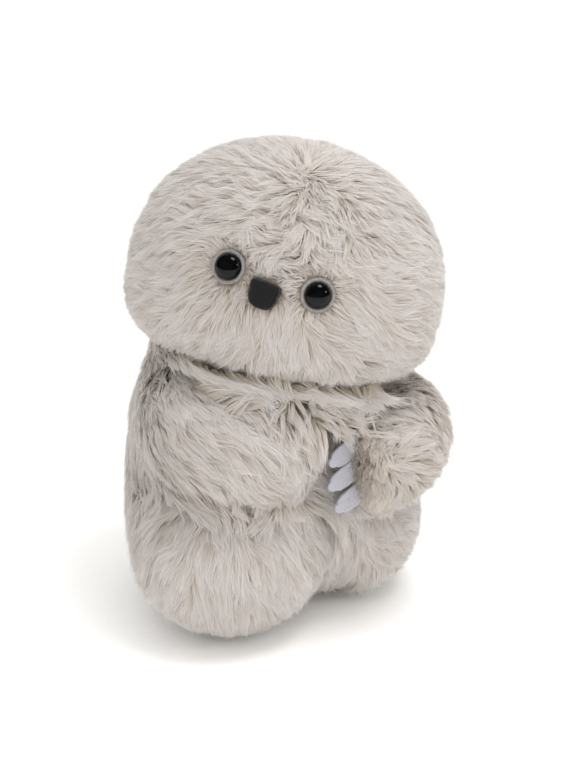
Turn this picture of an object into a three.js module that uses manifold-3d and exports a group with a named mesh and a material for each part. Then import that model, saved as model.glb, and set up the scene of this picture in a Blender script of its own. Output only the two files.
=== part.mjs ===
// A seated plush animal: fur-cloth skins over separate stuffings, with a pellet bag in the base,
// safety eyes held by lock washers, a padded beak and felt claws sewn into the hands.
// Millimetres, +Z up. The body faces -Y and +X is the toy's own left.

import * as THREE from 'three'
import { mergeVertices } from 'three/addons/utils/BufferGeometryUtils.js'
import Module from 'manifold-3d'

const wasm = await Module()
wasm.setup()

const degrees = THREE.MathUtils.degToRad

// Clearances and cloth
const seatGap = 0.3 // air left between two pieces that touch
const clothThickness = 9 // backing cloth with its laid pile
const standDepth = 0.5 // how far the soft base is pressed flat by the floor
const cutOverrun = 5 // how far a cutter runs past what it cuts

// A soft form is a closed skin carried along a curved spine from its root to its tip. Its widest
// ring lies at the equator share of the spine. Bluntness 2 is an ellipse, and more is a flatter end.
const skinMesh = { turns: 32, rings: 18 }
const limbMesh = { turns: 20, rings: 12 }
const fillingMesh = { turns: 20, rings: 12 }
const limbFillingMesh = { turns: 14, rings: 10 }

const body = {
  baseX: -8, baseY: 8, bellyX: -10, bellyY: 10, bellyZ: 70, neckX: 4, neckY: -7, height: 140,
  halfWidth: 61, halfDepth: 54, equatorShare: 0.42, baseBluntness: 2.7, neckBluntness: 2.9,
}

const head = {
  nestDepth: 24.5, // how deep the chin sinks into the top of the body
  halfWidth: 74.5, halfDepth: 65, crownHeight: 66, chinDepth: 43,
  leanLeft: degrees(13), tipBack: degrees(7), turnRight: degrees(30),
  chinBluntness: 3.2, crownBluntness: 2.05,
  neckOpening: 24, // radius of the sewn neck ring
}

// Arm heights are given as drops below the top of the body.
const armLeft = {
  rootX: 42, rootY: 2, rootDrop: 43, elbowX: 86, elbowY: -60, elbowDrop: 51,
  handX: 18, handY: -62, handDrop: 60,
  halfWidth: 18, halfHeight: 24, equatorShare: 0.6, rootBluntness: 2, handBluntness: 3.4,
}

const armRight = {
  rootX: -40, rootY: 4, rootDrop: 36, elbowX: -82, elbowY: -56, elbowDrop: 34,
  handX: 1, handY: -62, handDrop: 53,
  halfWidth: 19, halfHeight: 24, equatorShare: 0.6, rootBluntness: 2, handBluntness: 2.6,
}

const legLeft = {
  rootX: -2, rootY: 6, kneeX: 22, kneeY: -8, footX: 67.5, footY: -35,
  halfWidth: 39, halfHeight: 36, equatorShare: 0.62, rootBluntness: 2, footBluntness: 2.2,
}

const legRight = {
  rootX: -26, rootY: 10, kneeX: -34, kneeY: -20, footX: -31, footY: -75.5,
  halfWidth: 46, halfHeight: 37, equatorShare: 0.58, rootBluntness: 2, footBluntness: 2.2,
}

const pelletBag = {
  halfWidth: 34, halfDepth: 28, height: 34, bluntness: 2.4, equatorShare: 0.45,
  lift: 2, // stuffing left between the bag and the bottom cloth
}

// Face places are shares of the head's surface: a ring from chin to crown, and a turn about it.
const eye = {
  ringShare: 0.528, rowTiltShare: 0.013, spread: degrees(16.4),
  radius: 5.9, domeHeight: 4.2, stemRadius: 2, stemLength: 9.5,
  rimWidth: 1.5, rimHeight: 1.8, chamferShare: 0.3, pocketDepth: 4, pocketFlare: 1.6,
  washerRadius: 6.5, washerHeight: 1.6, steps: 20, domeArcs: 6,
}
const midFace = degrees(90)

const beak = {
  ringShare: 0.503, turn: degrees(92), roll: degrees(-12),
  halfWidth: 7.5, rise: 5, drop: 6.9, cornerShare: 0.35, thickness: 2.2, dome: 2.2,
  seatDepth: 2.4, rings: 4, stepsPerCurve: 6,
}

// Felt claws, sewn into the seam at the end of each hand
const claw = { length: 18, rootWidth: 10, tipWidth: 5.5, thickness: 1.6, pitch: 12, steps: 6 }
const clawPlaces = {
  left: { arm: armLeft, sideOffset: 3, rootInset: 5.5, curl: degrees(0), droop: degrees(24) },
  right: { arm: armRight, sideOffset: -6, rootInset: 14, curl: degrees(40), droop: degrees(10) },
}
const clawFanShares = [-1, 0, 1] // places across the hand, in pitches

// Materials, as the toy's own colours
const material = (color, roughness) => new THREE.MeshStandardMaterial({ color, roughness, metalness: 0 })
const fur = material(0xc9c2ba, 0.95)
const filling = material(0xf1efea, 1)
const pellets = material(0xe6e4de, 0.8)
const eyePlastic = material(0x0b0b0d, 0.08)
const rimPlastic = material(0xa6a3a0, 0.5)
const washerPlastic = material(0xdedcd6, 0.5)
const beakCloth = material(0x1c1a1b, 0.8)
const felt = material(0xc9cbd4, 0.95)

const toyFront = new THREE.Vector3(0, -1, 0)
const upward = new THREE.Vector3(0, 0, 1)

// Spine point and its frame at a share of the way from root to tip, with the side axis square to
// the facing direction.
function spineFrame(form, share) {
  const centre = form.spine.getPoint(share)
  const along = form.spine.getTangent(share).normalize()
  const side = new THREE.Vector3().crossVectors(along, form.facing).normalize()
  const front = new THREE.Vector3().crossVectors(side, along)
  return { centre, along, side, front }
}

// Surface point: superellipse profile from pole to pole, each ring an ellipse across the spine.
function formPoint(form, ringShare, turn) {
  const polar = Math.PI * ringShare
  const reach = -Math.cos(polar)
  const bluntness = reach < 0 ? form.rootBluntness : form.tipBluntness
  const spread = Math.pow(Math.max(Math.sin(polar), 0), 2 / bluntness)
  const travel = Math.sign(reach) * Math.pow(Math.abs(reach), 2 / bluntness)
  const span = travel < 0 ? form.equatorShare : 1 - form.equatorShare
  const share = THREE.MathUtils.clamp(form.equatorShare + span * travel, 0, 1)
  const rounding = form.roundRoot && travel < 0 ? -travel : 0
  const depth = THREE.MathUtils.lerp(form.halfDepth, form.halfWidth, rounding)
  const { centre, side, front } = spineFrame(form, share)
  return centre
    .addScaledVector(side, form.halfWidth * spread * Math.cos(turn))
    .addScaledVector(front, depth * spread * Math.sin(turn))
}

// Closed mesh of a soft form: one vertex at each pole and a ring of vertices between them.
function formGeometry(form) {
  const { turns, rings } = form
  const points = [formPoint(form, 0, 0)]
  for (let ring = 1; ring < rings; ring++) {
    for (let step = 0; step < turns; step++) {
      points.push(formPoint(form, ring / rings, (2 * Math.PI * step) / turns))
    }
  }
  points.push(formPoint(form, 1, 0))
  const tip = points.length - 1
  const at = (ring, step) => 1 + (ring - 1) * turns + (step % turns)
  const faces = []
  for (let step = 0; step < turns; step++) {
    faces.push(0, at(1, step), at(1, step + 1))
    faces.push(tip, at(rings - 1, step + 1), at(rings - 1, step))
    for (let ring = 1; ring < rings - 1; ring++) {
      faces.push(at(ring, step), at(ring + 1, step + 1), at(ring, step + 1))
      faces.push(at(ring, step), at(ring + 1, step), at(ring + 1, step + 1))
    }
  }
  const geometry = new THREE.BufferGeometry().setFromPoints(points)
  geometry.setIndex(faces)
  return geometry
}

function solidOf(geometry) {
  const bare = geometry.clone()
  bare.deleteAttribute('normal')
  bare.deleteAttribute('uv')
  const merged = mergeVertices(bare)
  return new wasm.Manifold(new wasm.Mesh({
    numProp: 3,
    vertProperties: new Float32Array(merged.attributes.position.array),
    triVerts: new Uint32Array(merged.index.array),
  }))
}

function geometryOf(solid) {
  const mesh = solid.getMesh()
  const geometry = new THREE.BufferGeometry()
  geometry.setAttribute('position', new THREE.BufferAttribute(new Float32Array(mesh.vertProperties), 3))
  geometry.setIndex(new THREE.BufferAttribute(new Uint32Array(mesh.triVerts), 1))
  geometry.computeVertexNormals()
  return geometry
}

const formSolid = (form) => solidOf(formGeometry(form))
const allOf = (solids) => solids.reduce((whole, solid) => whole.add(solid))
const cutAway = (solid, cutters) => cutters.reduce((left, cutter) => left.subtract(cutter), solid)

function straightSpine(start, end) {
  return new THREE.QuadraticBezierCurve3(start, start.clone().lerp(end, 1 / 2), end)
}

// The body: a pear whose spine slumps back at the belly and comes forward at the neck.
const neckPole = new THREE.Vector3(body.neckX, body.neckY, body.height)
function bodyForm(inset, mesh) {
  return {
    ...mesh,
    spine: new THREE.QuadraticBezierCurve3(
      new THREE.Vector3(body.baseX, body.baseY, inset - standDepth),
      new THREE.Vector3(body.bellyX, body.bellyY, body.bellyZ),
      neckPole.clone().addScaledVector(upward, -inset)),
    facing: toyFront,
    halfWidth: body.halfWidth - inset, halfDepth: body.halfDepth - inset,
    equatorShare: body.equatorShare,
    rootBluntness: body.baseBluntness, tipBluntness: body.neckBluntness,
  }
}

// The head: its spine runs from under the chin to the crown along the leaning head axis. The
// swept head is as deep as it is wide, so that it holds the head at every turn about that axis.
const headAxis = new THREE.Vector3(Math.tan(head.leanLeft), Math.tan(head.tipBack), 1).normalize()
const headCentre = neckPole.clone().addScaledVector(headAxis, head.chinDepth - head.nestDepth)
const faceDirection = new THREE.Vector3(-Math.sin(head.turnRight), -Math.cos(head.turnRight), 0)

function headForm(inset, mesh, halfDepth) {
  const chinDepth = head.chinDepth - inset
  const crownHeight = head.crownHeight - inset
  return {
    ...mesh,
    spine: straightSpine(
      headCentre.clone().addScaledVector(headAxis, -chinDepth),
      headCentre.clone().addScaledVector(headAxis, crownHeight)),
    facing: faceDirection,
    halfWidth: head.halfWidth - inset, halfDepth: halfDepth - inset,
    equatorShare: chinDepth / (chinDepth + crownHeight),
    rootBluntness: head.chinBluntness, tipBluntness: head.crownBluntness, roundRoot: true,
  }
}

// A limb: a bent sock from its root inside the body to its rounded end.
function limbForm(root, bend, end, limb, tipBluntness, inset, mesh) {
  const spine = new THREE.QuadraticBezierCurve3(root, bend, end)
  end.addScaledVector(spine.getTangent(1).normalize(), -inset)
  return {
    ...mesh,
    spine, facing: upward,
    halfWidth: limb.halfWidth - inset, halfDepth: limb.halfHeight - inset,
    equatorShare: limb.equatorShare, rootBluntness: limb.rootBluntness, tipBluntness,
  }
}

const armForm = (arm, inset, mesh) => limbForm(
  new THREE.Vector3(arm.rootX, arm.rootY, body.height - arm.rootDrop),
  new THREE.Vector3(arm.elbowX, arm.elbowY, body.height - arm.elbowDrop),
  new THREE.Vector3(arm.handX, arm.handY, body.height - arm.handDrop), arm, arm.handBluntness, inset, mesh)

// A leg lies along the floor, so its spine is half its height up.
const legForm = (leg, inset, mesh) => limbForm(
  new THREE.Vector3(leg.rootX, leg.rootY, leg.halfHeight - standDepth),
  new THREE.Vector3(leg.kneeX, leg.kneeY, leg.halfHeight - standDepth),
  new THREE.Vector3(leg.footX, leg.footY, leg.halfHeight - standDepth),
  leg, leg.footBluntness, inset, mesh)

// Everything under the floor plane is pressed flat.
function standFlat(solid) {
  return solid.trimByPlane(upward.toArray(), 0)
}

// Half space between the feet, where the two soft legs press each other flat.
const footRight = new THREE.Vector3(legRight.footX, legRight.footY, 0)
const footLeft = new THREE.Vector3(legLeft.footX, legLeft.footY, 0)
const kneeRight = new THREE.Vector3(legRight.kneeX, legRight.kneeY, 0)
const kneeLeft = new THREE.Vector3(legLeft.kneeX, legLeft.kneeY, 0)
const legMeet = kneeRight.clone().add(footRight).lerp(kneeLeft.clone().add(footLeft), 1 / 2)
  .multiplyScalar(1 / 2)
const legAcross = footLeft.clone().sub(footRight).normalize()
const meetOffset = legMeet.dot(legAcross)
const leftOfMeet = (solid) => solid.trimByPlane(legAcross.toArray(), meetOffset + seatGap / 2)
const rightOfMeet = (solid) => solid.trimByPlane(
  legAcross.clone().negate().toArray(), -(meetOffset - seatGap / 2))

// Frame on the head's surface: +Z out of the skin, +Y towards the crown.
function faceFrame(ringShare, turn) {
  const form = headForm(0, skinMesh, head.halfDepth)
  const stepShare = 0.001
  const here = formPoint(form, ringShare, turn)
  const up = formPoint(form, ringShare + stepShare, turn).sub(here)
  const across = formPoint(form, ringShare, turn - stepShare).sub(here)
  const outward = new THREE.Vector3().crossVectors(across, up).normalize()
  const right = new THREE.Vector3().crossVectors(up, outward).normalize()
  const crown = new THREE.Vector3().crossVectors(outward, right)
  return new THREE.Matrix4().makeBasis(right, crown, outward).setPosition(here)
}

const placed = (geometry, frame) => geometry.clone().applyMatrix4(frame)

// Lathed about +Z: a profile of [radius, height] pairs that starts and ends on the axis, or closes.
function lathe(profile, steps) {
  const outline = profile.map(([radius, height]) => new THREE.Vector2(radius, height))
  return new THREE.LatheGeometry(outline, steps).rotateX(Math.PI / 2)
}

// Eye: a glossy dome with its stem. Heights are from the pocket floor upwards.
function eyeProfile() {
  const domeBase = eye.rimHeight
  const outline = [[0, -eye.stemLength], [eye.stemRadius, -eye.stemLength], [eye.stemRadius, seatGap],
    [eye.radius, seatGap], [eye.radius, domeBase]]
  for (let step = 1; step < eye.domeArcs; step++) {
    const angle = (Math.PI / 2) * (step / eye.domeArcs)
    outline.push([eye.radius * Math.cos(angle), domeBase + eye.domeHeight * Math.sin(angle)])
  }
  outline.push([0, domeBase + eye.domeHeight])
  return outline
}

// Rim: the pale plastic ring that holds the cloth back from the dome.
function rimProfile() {
  const inner = eye.radius + seatGap
  const outer = inner + eye.rimWidth
  const chamfer = eye.rimWidth * eye.chamferShare
  return [[inner, seatGap], [outer, seatGap], [outer, eye.rimHeight - chamfer],
    [outer - chamfer, eye.rimHeight], [inner, eye.rimHeight], [inner, seatGap]]
}

// Lock washer: pushed onto the stem inside the head, hard against the cloth.
const washerTop = -(clothThickness - eye.pocketDepth)
const washerBottom = washerTop - eye.washerHeight
const stemHole = eye.stemRadius + seatGap
const washerProfile = [[stemHole, washerBottom], [eye.washerRadius, washerBottom],
  [eye.washerRadius, washerTop], [stemHole, washerTop], [stemHole, washerBottom]]
const washerSeatProfile = [[0, washerBottom - seatGap], [eye.washerRadius + seatGap, washerBottom - seatGap],
  [eye.washerRadius + seatGap, washerTop + seatGap], [0, washerTop + seatGap]]

// What the skin and stuffing lose at an eye: the flared pocket and the stem's hole.
function eyeCutProfile() {
  const floorRadius = eye.radius + eye.rimWidth + 2 * seatGap
  const mouth = floorRadius + eye.pocketFlare
  return [[0, -eye.stemLength - seatGap], [stemHole, -eye.stemLength - seatGap],
    [stemHole, 0], [floorRadius, 0], [mouth, eye.pocketDepth],
    [mouth, eye.pocketDepth + cutOverrun], [0, eye.pocketDepth + cutOverrun]]
}

// Beak outline: flat top edge, rounded corners, and sides that run to one rounded point.
function beakOutline(grow) {
  const wide = beak.halfWidth + grow
  const top = beak.rise + grow
  const low = -(beak.drop + grow)
  const corner = wide * beak.cornerShare
  const shape = new THREE.Shape()
  shape.moveTo(-wide + corner, top)
  shape.lineTo(wide - corner, top)
  shape.bezierCurveTo(wide, top, wide, top - corner, wide - corner / 3, 0)
  shape.bezierCurveTo(wide - corner, low + corner / 2, wide / 2, low, 0, low)
  shape.bezierCurveTo(-wide / 2, low, -wide + corner, low + corner / 2, -wide + corner / 3, 0)
  shape.bezierCurveTo(-wide, top - corner, -wide, top, -wide + corner, top)
  return shape.getPoints(beak.stepsPerCurve).slice(0, -1)
}

// Padded patch: the outline drawn in ring by ring to its middle while it rises like a dome.
function padGeometry(outline, sideHeight, domeHeight, rings) {
  const points = []
  const count = outline.length
  for (let ring = 0; ring < rings; ring++) {
    const lift = Math.sin((Math.PI / 2) * (ring / rings))
    const draw = Math.cos((Math.PI / 2) * (ring / rings))
    for (const { x, y } of outline) points.push(new THREE.Vector3(x * draw, y * draw, sideHeight + domeHeight * lift))
  }
  for (const { x, y } of outline) points.push(new THREE.Vector3(x, y, 0))
  const crown = points.push(new THREE.Vector3(0, 0, sideHeight + domeHeight)) - 1
  const middle = points.push(new THREE.Vector3(0, 0, 0)) - 1
  const base = rings * count
  const faces = []
  for (let step = 0; step < count; step++) {
    const next = (step + 1) % count
    for (let ring = 0; ring < rings - 1; ring++) {
      const low = ring * count
      const high = low + count
      faces.push(low + step, low + next, high + next, low + step, high + next, high + step)
    }
    const last = (rings - 1) * count
    faces.push(last + step, last + next, crown)
    faces.push(base + step, base + next, next, base + step, next, step)
    faces.push(middle, base + next, base + step)
  }
  const geometry = new THREE.BufferGeometry().setFromPoints(points)
  geometry.setIndex(faces)
  return geometry
}

// Faces wound the other way round, for an outline that turns clockwise
function turnedOut(geometry) {
  const index = geometry.index.array
  const flipped = []
  for (let at = 0; at < index.length; at += 3) flipped.push(index[at], index[at + 2], index[at + 1])
  geometry.setIndex(flipped)
  return geometry
}

// Claw outline along +X: straight root, sides that taper to a round tip.
function clawShape(rootInset, grow) {
  const half = claw.rootWidth / 2 + grow
  const tipRadius = claw.tipWidth / 2 + grow
  const tipCentre = claw.length - rootInset - claw.tipWidth / 2
  const shape = new THREE.Shape()
  shape.moveTo(-rootInset - grow, -half)
  shape.lineTo(0, -half)
  shape.quadraticCurveTo(tipCentre, -half, tipCentre, -tipRadius)
  shape.absarc(tipCentre, 0, tipRadius, -Math.PI / 2, Math.PI / 2, false)
  shape.quadraticCurveTo(tipCentre, half, 0, half)
  shape.lineTo(-rootInset - grow, half)
  shape.closePath()
  return shape
}

function clawGeometry(rootInset, grow) {
  const depth = claw.thickness + 2 * grow
  const options = { depth, bevelEnabled: false, curveSegments: claw.steps }
  return new THREE.ExtrudeGeometry(clawShape(rootInset, grow), options).translate(0, 0, -depth / 2)
}

// Place on the blunt end of an arm, at offsets to the side and front of its spine: the profile's
// spread there gives how far along the spine the surface lies.
function handFrame(arm, sideOffset, frontOffset) {
  const form = armForm(arm, 0, limbMesh)
  const spread = Math.hypot(sideOffset / form.halfWidth, frontOffset / form.halfDepth)
  const travel = Math.pow(1 - Math.pow(Math.min(spread, 1), form.tipBluntness), 1 / form.tipBluntness)
  const share = form.equatorShare + (1 - form.equatorShare) * travel
  const { centre, along, side, front } = spineFrame(form, share)
  centre.addScaledVector(side, sideOffset).addScaledVector(front, frontOffset)
  return new THREE.Matrix4().makeBasis(along, front, new THREE.Vector3().crossVectors(along, front))
    .setPosition(centre)
}

const owl = new THREE.Group()
function addPiece(name, solid, look) {
  const mesh = new THREE.Mesh(geometryOf(solid), look)
  mesh.name = name
  owl.add(mesh)
}

// Eyes, washers and beak, with what the head loses for them
const headCuts = []
for (const [name, way] of [['right', 1], ['left', -1]]) {
  const surface = faceFrame(eye.ringShare + way * eye.rowTiltShare, midFace + way * eye.spread)
  const floor = surface.clone().multiply(new THREE.Matrix4().makeTranslation(0, 0, -eye.pocketDepth))
  addPiece(`eye_${name}`, solidOf(placed(lathe(eyeProfile(), eye.steps), floor)), eyePlastic)
  addPiece(`eye_rim_${name}`, solidOf(placed(lathe(rimProfile(), eye.steps), floor)), rimPlastic)
  addPiece(`eye_washer_${name}`, solidOf(placed(lathe(washerProfile, eye.steps), floor)), washerPlastic)
  headCuts.push(solidOf(placed(lathe(eyeCutProfile(), eye.steps), floor)))
  headCuts.push(solidOf(placed(lathe(washerSeatProfile, eye.steps), floor)))
}

const beakFrame = faceFrame(beak.ringShare, beak.turn)
  .multiply(new THREE.Matrix4().makeRotationZ(beak.roll))
const beakSeat = beakFrame.clone().multiply(new THREE.Matrix4().makeTranslation(0, 0, -beak.seatDepth))
const beakPad = turnedOut(padGeometry(beakOutline(0), beak.thickness, beak.dome, beak.rings))
addPiece('beak', solidOf(placed(beakPad, beakSeat)), beakCloth)
const beakPocket = turnedOut(padGeometry(beakOutline(seatGap), cutOverrun, beak.dome, beak.rings))
headCuts.push(solidOf(placed(beakPocket.translate(0, 0, -seatGap), beakSeat)))

// Head: the skin is open at the neck ring, and the stuffing fills it.
const headSwept = formSolid(headForm(-seatGap, skinMesh, head.halfWidth))
const neckRing = new THREE.CylinderGeometry(head.neckOpening, head.neckOpening, head.chinDepth, skinMesh.turns)
  .rotateX(Math.PI / 2)
  .applyQuaternion(new THREE.Quaternion().setFromUnitVectors(upward, headAxis))
  .translate(...headCentre.clone().addScaledVector(headAxis, -head.chinDepth).toArray())
const headSkin = formSolid(headForm(0, skinMesh, head.halfDepth))
  .subtract(formSolid(headForm(clothThickness, fillingMesh, head.halfDepth)))
addPiece('head_skin', cutAway(headSkin, [solidOf(neckRing), ...headCuts]), fur)
const headFill = formSolid(headForm(clothThickness + seatGap, fillingMesh, head.halfDepth))
addPiece('head_stuffing', cutAway(headFill, headCuts), filling)

// Body: the head sits in the dish that its swept form leaves, where skin and stuffing stand open.
const bodyGrown = formSolid(bodyForm(-seatGap, skinMesh))
const bodySkin = formSolid(bodyForm(0, skinMesh)).subtract(formSolid(bodyForm(clothThickness, fillingMesh)))
addPiece('body_skin', standFlat(bodySkin.subtract(headSwept)), fur)

function pelletForm(grow) {
  const floor = clothThickness - standDepth + pelletBag.lift
  const base = new THREE.Vector3(body.baseX, body.baseY, floor - grow)
  return {
    ...fillingMesh,
    spine: straightSpine(base, base.clone().setZ(floor + pelletBag.height + grow)),
    facing: toyFront,
    halfWidth: pelletBag.halfWidth + grow, halfDepth: pelletBag.halfDepth + grow,
    equatorShare: pelletBag.equatorShare,
    rootBluntness: pelletBag.bluntness, tipBluntness: pelletBag.bluntness,
  }
}
addPiece('pellet_bag', formSolid(pelletForm(0)), pellets)
const bodyFill = formSolid(bodyForm(clothThickness + seatGap, fillingMesh))
const pelletRoom = formSolid(pelletForm(seatGap))
const pelletFoot = pelletRoom.translate([0, 0, -cutOverrun])
addPiece('body_stuffing', cutAway(bodyFill, [headSwept, pelletRoom, pelletFoot]), filling)

// Arms: socks cut by the larger body and head, with three felt claws in each hand's seam
const legRoom = allOf([legLeft, legRight].map((leg) => formSolid(legForm(leg, -seatGap, limbMesh))))
const armCutters = [bodyGrown, headSwept, legRoom]
for (const [name, { arm, sideOffset, rootInset, curl, droop }] of Object.entries(clawPlaces)) {
  const seats = []
  clawFanShares.forEach((fanShare, index) => {
    const frame = handFrame(arm, sideOffset, fanShare * claw.pitch)
      .multiply(new THREE.Matrix4().makeRotationY(curl))
      .multiply(new THREE.Matrix4().makeRotationZ(-droop))
    const blade = solidOf(placed(clawGeometry(rootInset, 0), frame))
    addPiece(`claw_${name}_${index + 1}`, cutAway(blade, armCutters), felt)
    seats.push(solidOf(placed(clawGeometry(rootInset, seatGap), frame)))
  })
  const skin = formSolid(armForm(arm, 0, limbMesh)).subtract(formSolid(armForm(arm, clothThickness, limbFillingMesh)))
  addPiece(`arm_${name}_skin`, cutAway(skin, [...armCutters, ...seats]), fur)
  const fill = formSolid(armForm(arm, clothThickness + seatGap, limbFillingMesh))
  addPiece(`arm_${name}_stuffing`, cutAway(fill, [...armCutters, ...seats]), filling)
}

// Legs: socks cut by the body, pressed flat on the floor and against each other
for (const [name, leg, part] of [['left', legLeft, leftOfMeet], ['right', legRight, rightOfMeet]]) {
  const skin = formSolid(legForm(leg, 0, limbMesh)).subtract(formSolid(legForm(leg, clothThickness, limbFillingMesh)))
  addPiece(`leg_${name}_skin`, part(standFlat(skin.subtract(bodyGrown))), fur)
  const fill = formSolid(legForm(leg, clothThickness + seatGap, limbFillingMesh))
  addPiece(`leg_${name}_stuffing`, part(fill.subtract(bodyGrown)), filling)
}

// The toy stands centred over the origin.
const middle = new THREE.Box3().setFromObject(owl).getCenter(new THREE.Vector3())
for (const piece of owl.children) piece.geometry.translate(-middle.x, -middle.y, 0)

export default owl
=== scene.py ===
# Seated plush owl: faux-fur cloth over stuffed forms, safety eyes, a padded beak and felt claws.
# Lengths are in millimetres until a mesh is made, in the toy's own frame before it is centred.
import math

import bmesh
import bpy
import numpy as np
from mathutils import Matrix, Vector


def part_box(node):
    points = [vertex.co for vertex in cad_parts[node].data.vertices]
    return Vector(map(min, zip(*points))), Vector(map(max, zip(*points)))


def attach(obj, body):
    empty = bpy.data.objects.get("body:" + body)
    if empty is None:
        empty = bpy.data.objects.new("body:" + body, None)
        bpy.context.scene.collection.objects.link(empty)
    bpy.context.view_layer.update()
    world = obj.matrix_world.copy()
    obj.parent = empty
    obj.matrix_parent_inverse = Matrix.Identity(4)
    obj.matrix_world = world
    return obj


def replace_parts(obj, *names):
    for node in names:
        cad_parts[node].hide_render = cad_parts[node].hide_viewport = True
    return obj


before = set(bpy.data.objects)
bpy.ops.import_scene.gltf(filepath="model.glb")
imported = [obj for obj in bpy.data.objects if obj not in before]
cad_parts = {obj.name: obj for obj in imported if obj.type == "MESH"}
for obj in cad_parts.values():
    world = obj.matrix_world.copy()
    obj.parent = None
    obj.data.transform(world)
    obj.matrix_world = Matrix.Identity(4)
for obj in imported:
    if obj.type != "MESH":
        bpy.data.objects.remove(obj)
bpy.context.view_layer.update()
metre = 0.001  # metres in a millimetre
print("frame loaded:", len(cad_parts), "nodes")


# Vectors
def unit(vectors):
    return vectors / np.maximum(np.linalg.norm(vectors, axis=-1, keepdims=True), 1e-9)


def dot(a, b):
    return (a * b).sum(-1, keepdims=True)


def flatOn(vectors, normals):  # what is left of each vector in the plane square to its normal
    return vectors - normals * dot(vectors, normals)


def turned(vectors, axes, angles):  # each vector turned about its unit axis by its angle
    c, s = np.cos(angles)[..., None], np.sin(angles)[..., None]
    return vectors * c + np.cross(axes, vectors) * s + axes * dot(axes, vectors) * (1 - c)


def smoothStep(low, high, values):
    t = np.clip((values - low) / (high - low), 0, 1)
    return t * t * (3 - 2 * t)


# The photograph's camera: picture places are in its 576 by 768 pixels.
camera = {"azimuth": -22, "elevation": 22, "distance": 900, "scale": 0.5, "originX": 267, "originY": 578,
          "centreX": 288, "centreY": 384, "height": 768, "sensor": 36}
swing, tilt = math.radians(camera["azimuth"]), math.radians(camera["elevation"])
viewRight = np.array([math.cos(swing), math.sin(swing), 0])
viewBack = np.array([math.sin(swing) * math.cos(tilt), -math.cos(swing) * math.cos(tilt), math.sin(tilt)])
viewUp = np.cross(viewBack, viewRight)
axisRight = (camera["centreX"] - camera["originX"]) * camera["scale"]
axisUp = (camera["originY"] - camera["centreY"]) * camera["scale"]


def pictureOf(points):  # pixel place of each point: distance from the optical axis, grown by nearness
    nearness = 1 / (1 - dot(points, viewBack)[..., 0] / camera["distance"])
    across = (points @ viewRight - axisRight) * nearness / camera["scale"]
    rise = (points @ viewUp - axisUp) * nearness / camera["scale"]
    return np.stack([camera["centreX"] + across, camera["centreY"] - rise], -1)


# A curve bent by three points, at each share of its way, and its speed there
def bent(points, share):
    s = share[..., None]
    return points[0] * (1 - s) ** 2 + points[1] * 2 * s * (1 - s) + points[2] * s ** 2


def bentSpeed(points, share):
    s = share[..., None]
    return 2 * (points[1] - points[0]) * (1 - s) + 2 * (points[2] - points[1]) * s


# A soft form: a superellipse profile carried along a bent spine, each ring an ellipse square to it.
# The ellipses of a round root grow to circles at its pole.
def spineFrame(shape, share):
    along = unit(bentSpeed(shape["spine"], share))
    side = unit(np.cross(along, shape["facing"]))
    return bent(shape["spine"], share), along, side, np.cross(side, along)


def depthAt(shape, travel):
    rounding = np.clip(-travel, 0, 1) if shape["roundRoot"] else 0 * travel
    return shape["deep"] + (shape["wide"] - shape["deep"]) * rounding


def formPoint(shape, ring, turn):  # ring 0 is the root's pole and ring 1 the tip's
    reach = -np.cos(np.pi * ring)
    blunt = np.where(reach < 0, shape["rootBlunt"], shape["tipBlunt"])
    spread = np.clip(np.sin(np.pi * ring), 0, 1) ** (2 / blunt)
    travel = np.sign(reach) * np.abs(reach) ** (2 / blunt)
    q = shape["equator"]
    centre, along, side, front = spineFrame(shape, np.clip(q + np.where(travel < 0, q, 1 - q) * travel, 0, 1))
    across, ahead = shape["wide"] * spread * np.cos(turn), depthAt(shape, travel) * spread * np.sin(turn)
    return centre + side * across[..., None] + front * ahead[..., None]


def formNormal(shape, ring, turn):
    step = 1e-3
    up = [formPoint(shape, np.clip(ring + way, 0, 1), turn) for way in (step, -step)]
    across = [formPoint(shape, ring, turn + way) for way in (step, -step)]
    return unit(np.cross(up[0] - up[1], across[0] - across[1]))


def nearest(points, centres):  # index of the nearest centre to each point, found 4000 at a time
    found = np.empty(len(points), int)
    for start in range(0, len(points), 4000):
        part = slice(start, start + 4000)
        found[part] = ((points[part, None] - centres) ** 2).sum(-1).argmin(1)
    return found


def nearStation(shape, points):  # share of the spine's way at the nearest of 49 stations along it
    stations = np.linspace(0, 1, 49)
    return stations[nearest(points, bent(shape["spine"], stations))]


def senseForm(shape, points):  # distance outside the form's skin, to first order, and the way out
    spine, q = shape["spine"], shape["equator"]
    near = nearStation(shape, points)
    speed = bentSpeed(spine, near)
    near = near + ((points - bent(spine, near)) * speed).sum(-1) / (speed ** 2).sum(-1)
    inside = np.clip(near, 0, 1)
    centre, along, side, front = spineFrame(shape, inside)
    part = np.where(inside < q, q, 1 - q)
    half = np.linalg.norm(bentSpeed(spine, np.array([q]))[0]) * part
    travel = (inside - q) / part + dot(points - centre, along)[..., 0] / half
    deep = depthAt(shape, travel)
    x = dot(points - centre, side)[..., 0] / shape["wide"]
    y = dot(points - centre, front)[..., 0] / deep
    spread = np.sqrt(x * x + y * y) + 1e-9
    blunt = np.where(travel < 0, shape["rootBlunt"], shape["tipBlunt"])
    size = (np.abs(travel) ** blunt + spread ** blunt) ** (1 / blunt) + 1e-9
    endways = np.sign(travel) * (np.abs(travel) / size) ** (blunt - 1) / half
    sideways = (spread / size) ** (blunt - 1) / spread
    slope = along * endways[..., None] + side * (sideways * x / shape["wide"])[..., None] \
        + front * (sideways * y / deep)[..., None]
    steep = np.linalg.norm(slope, axis=-1)
    return (size - 1) / steep, slope / steep[..., None]


def formGrid(shape, rings, turns):  # points on a form and the ways out, a row for each ring
    ring, turn = np.meshgrid(rings, 2 * np.pi * np.arange(turns) / turns, indexing="ij")
    return formPoint(shape, ring, turn), formNormal(shape, ring, turn)


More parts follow.
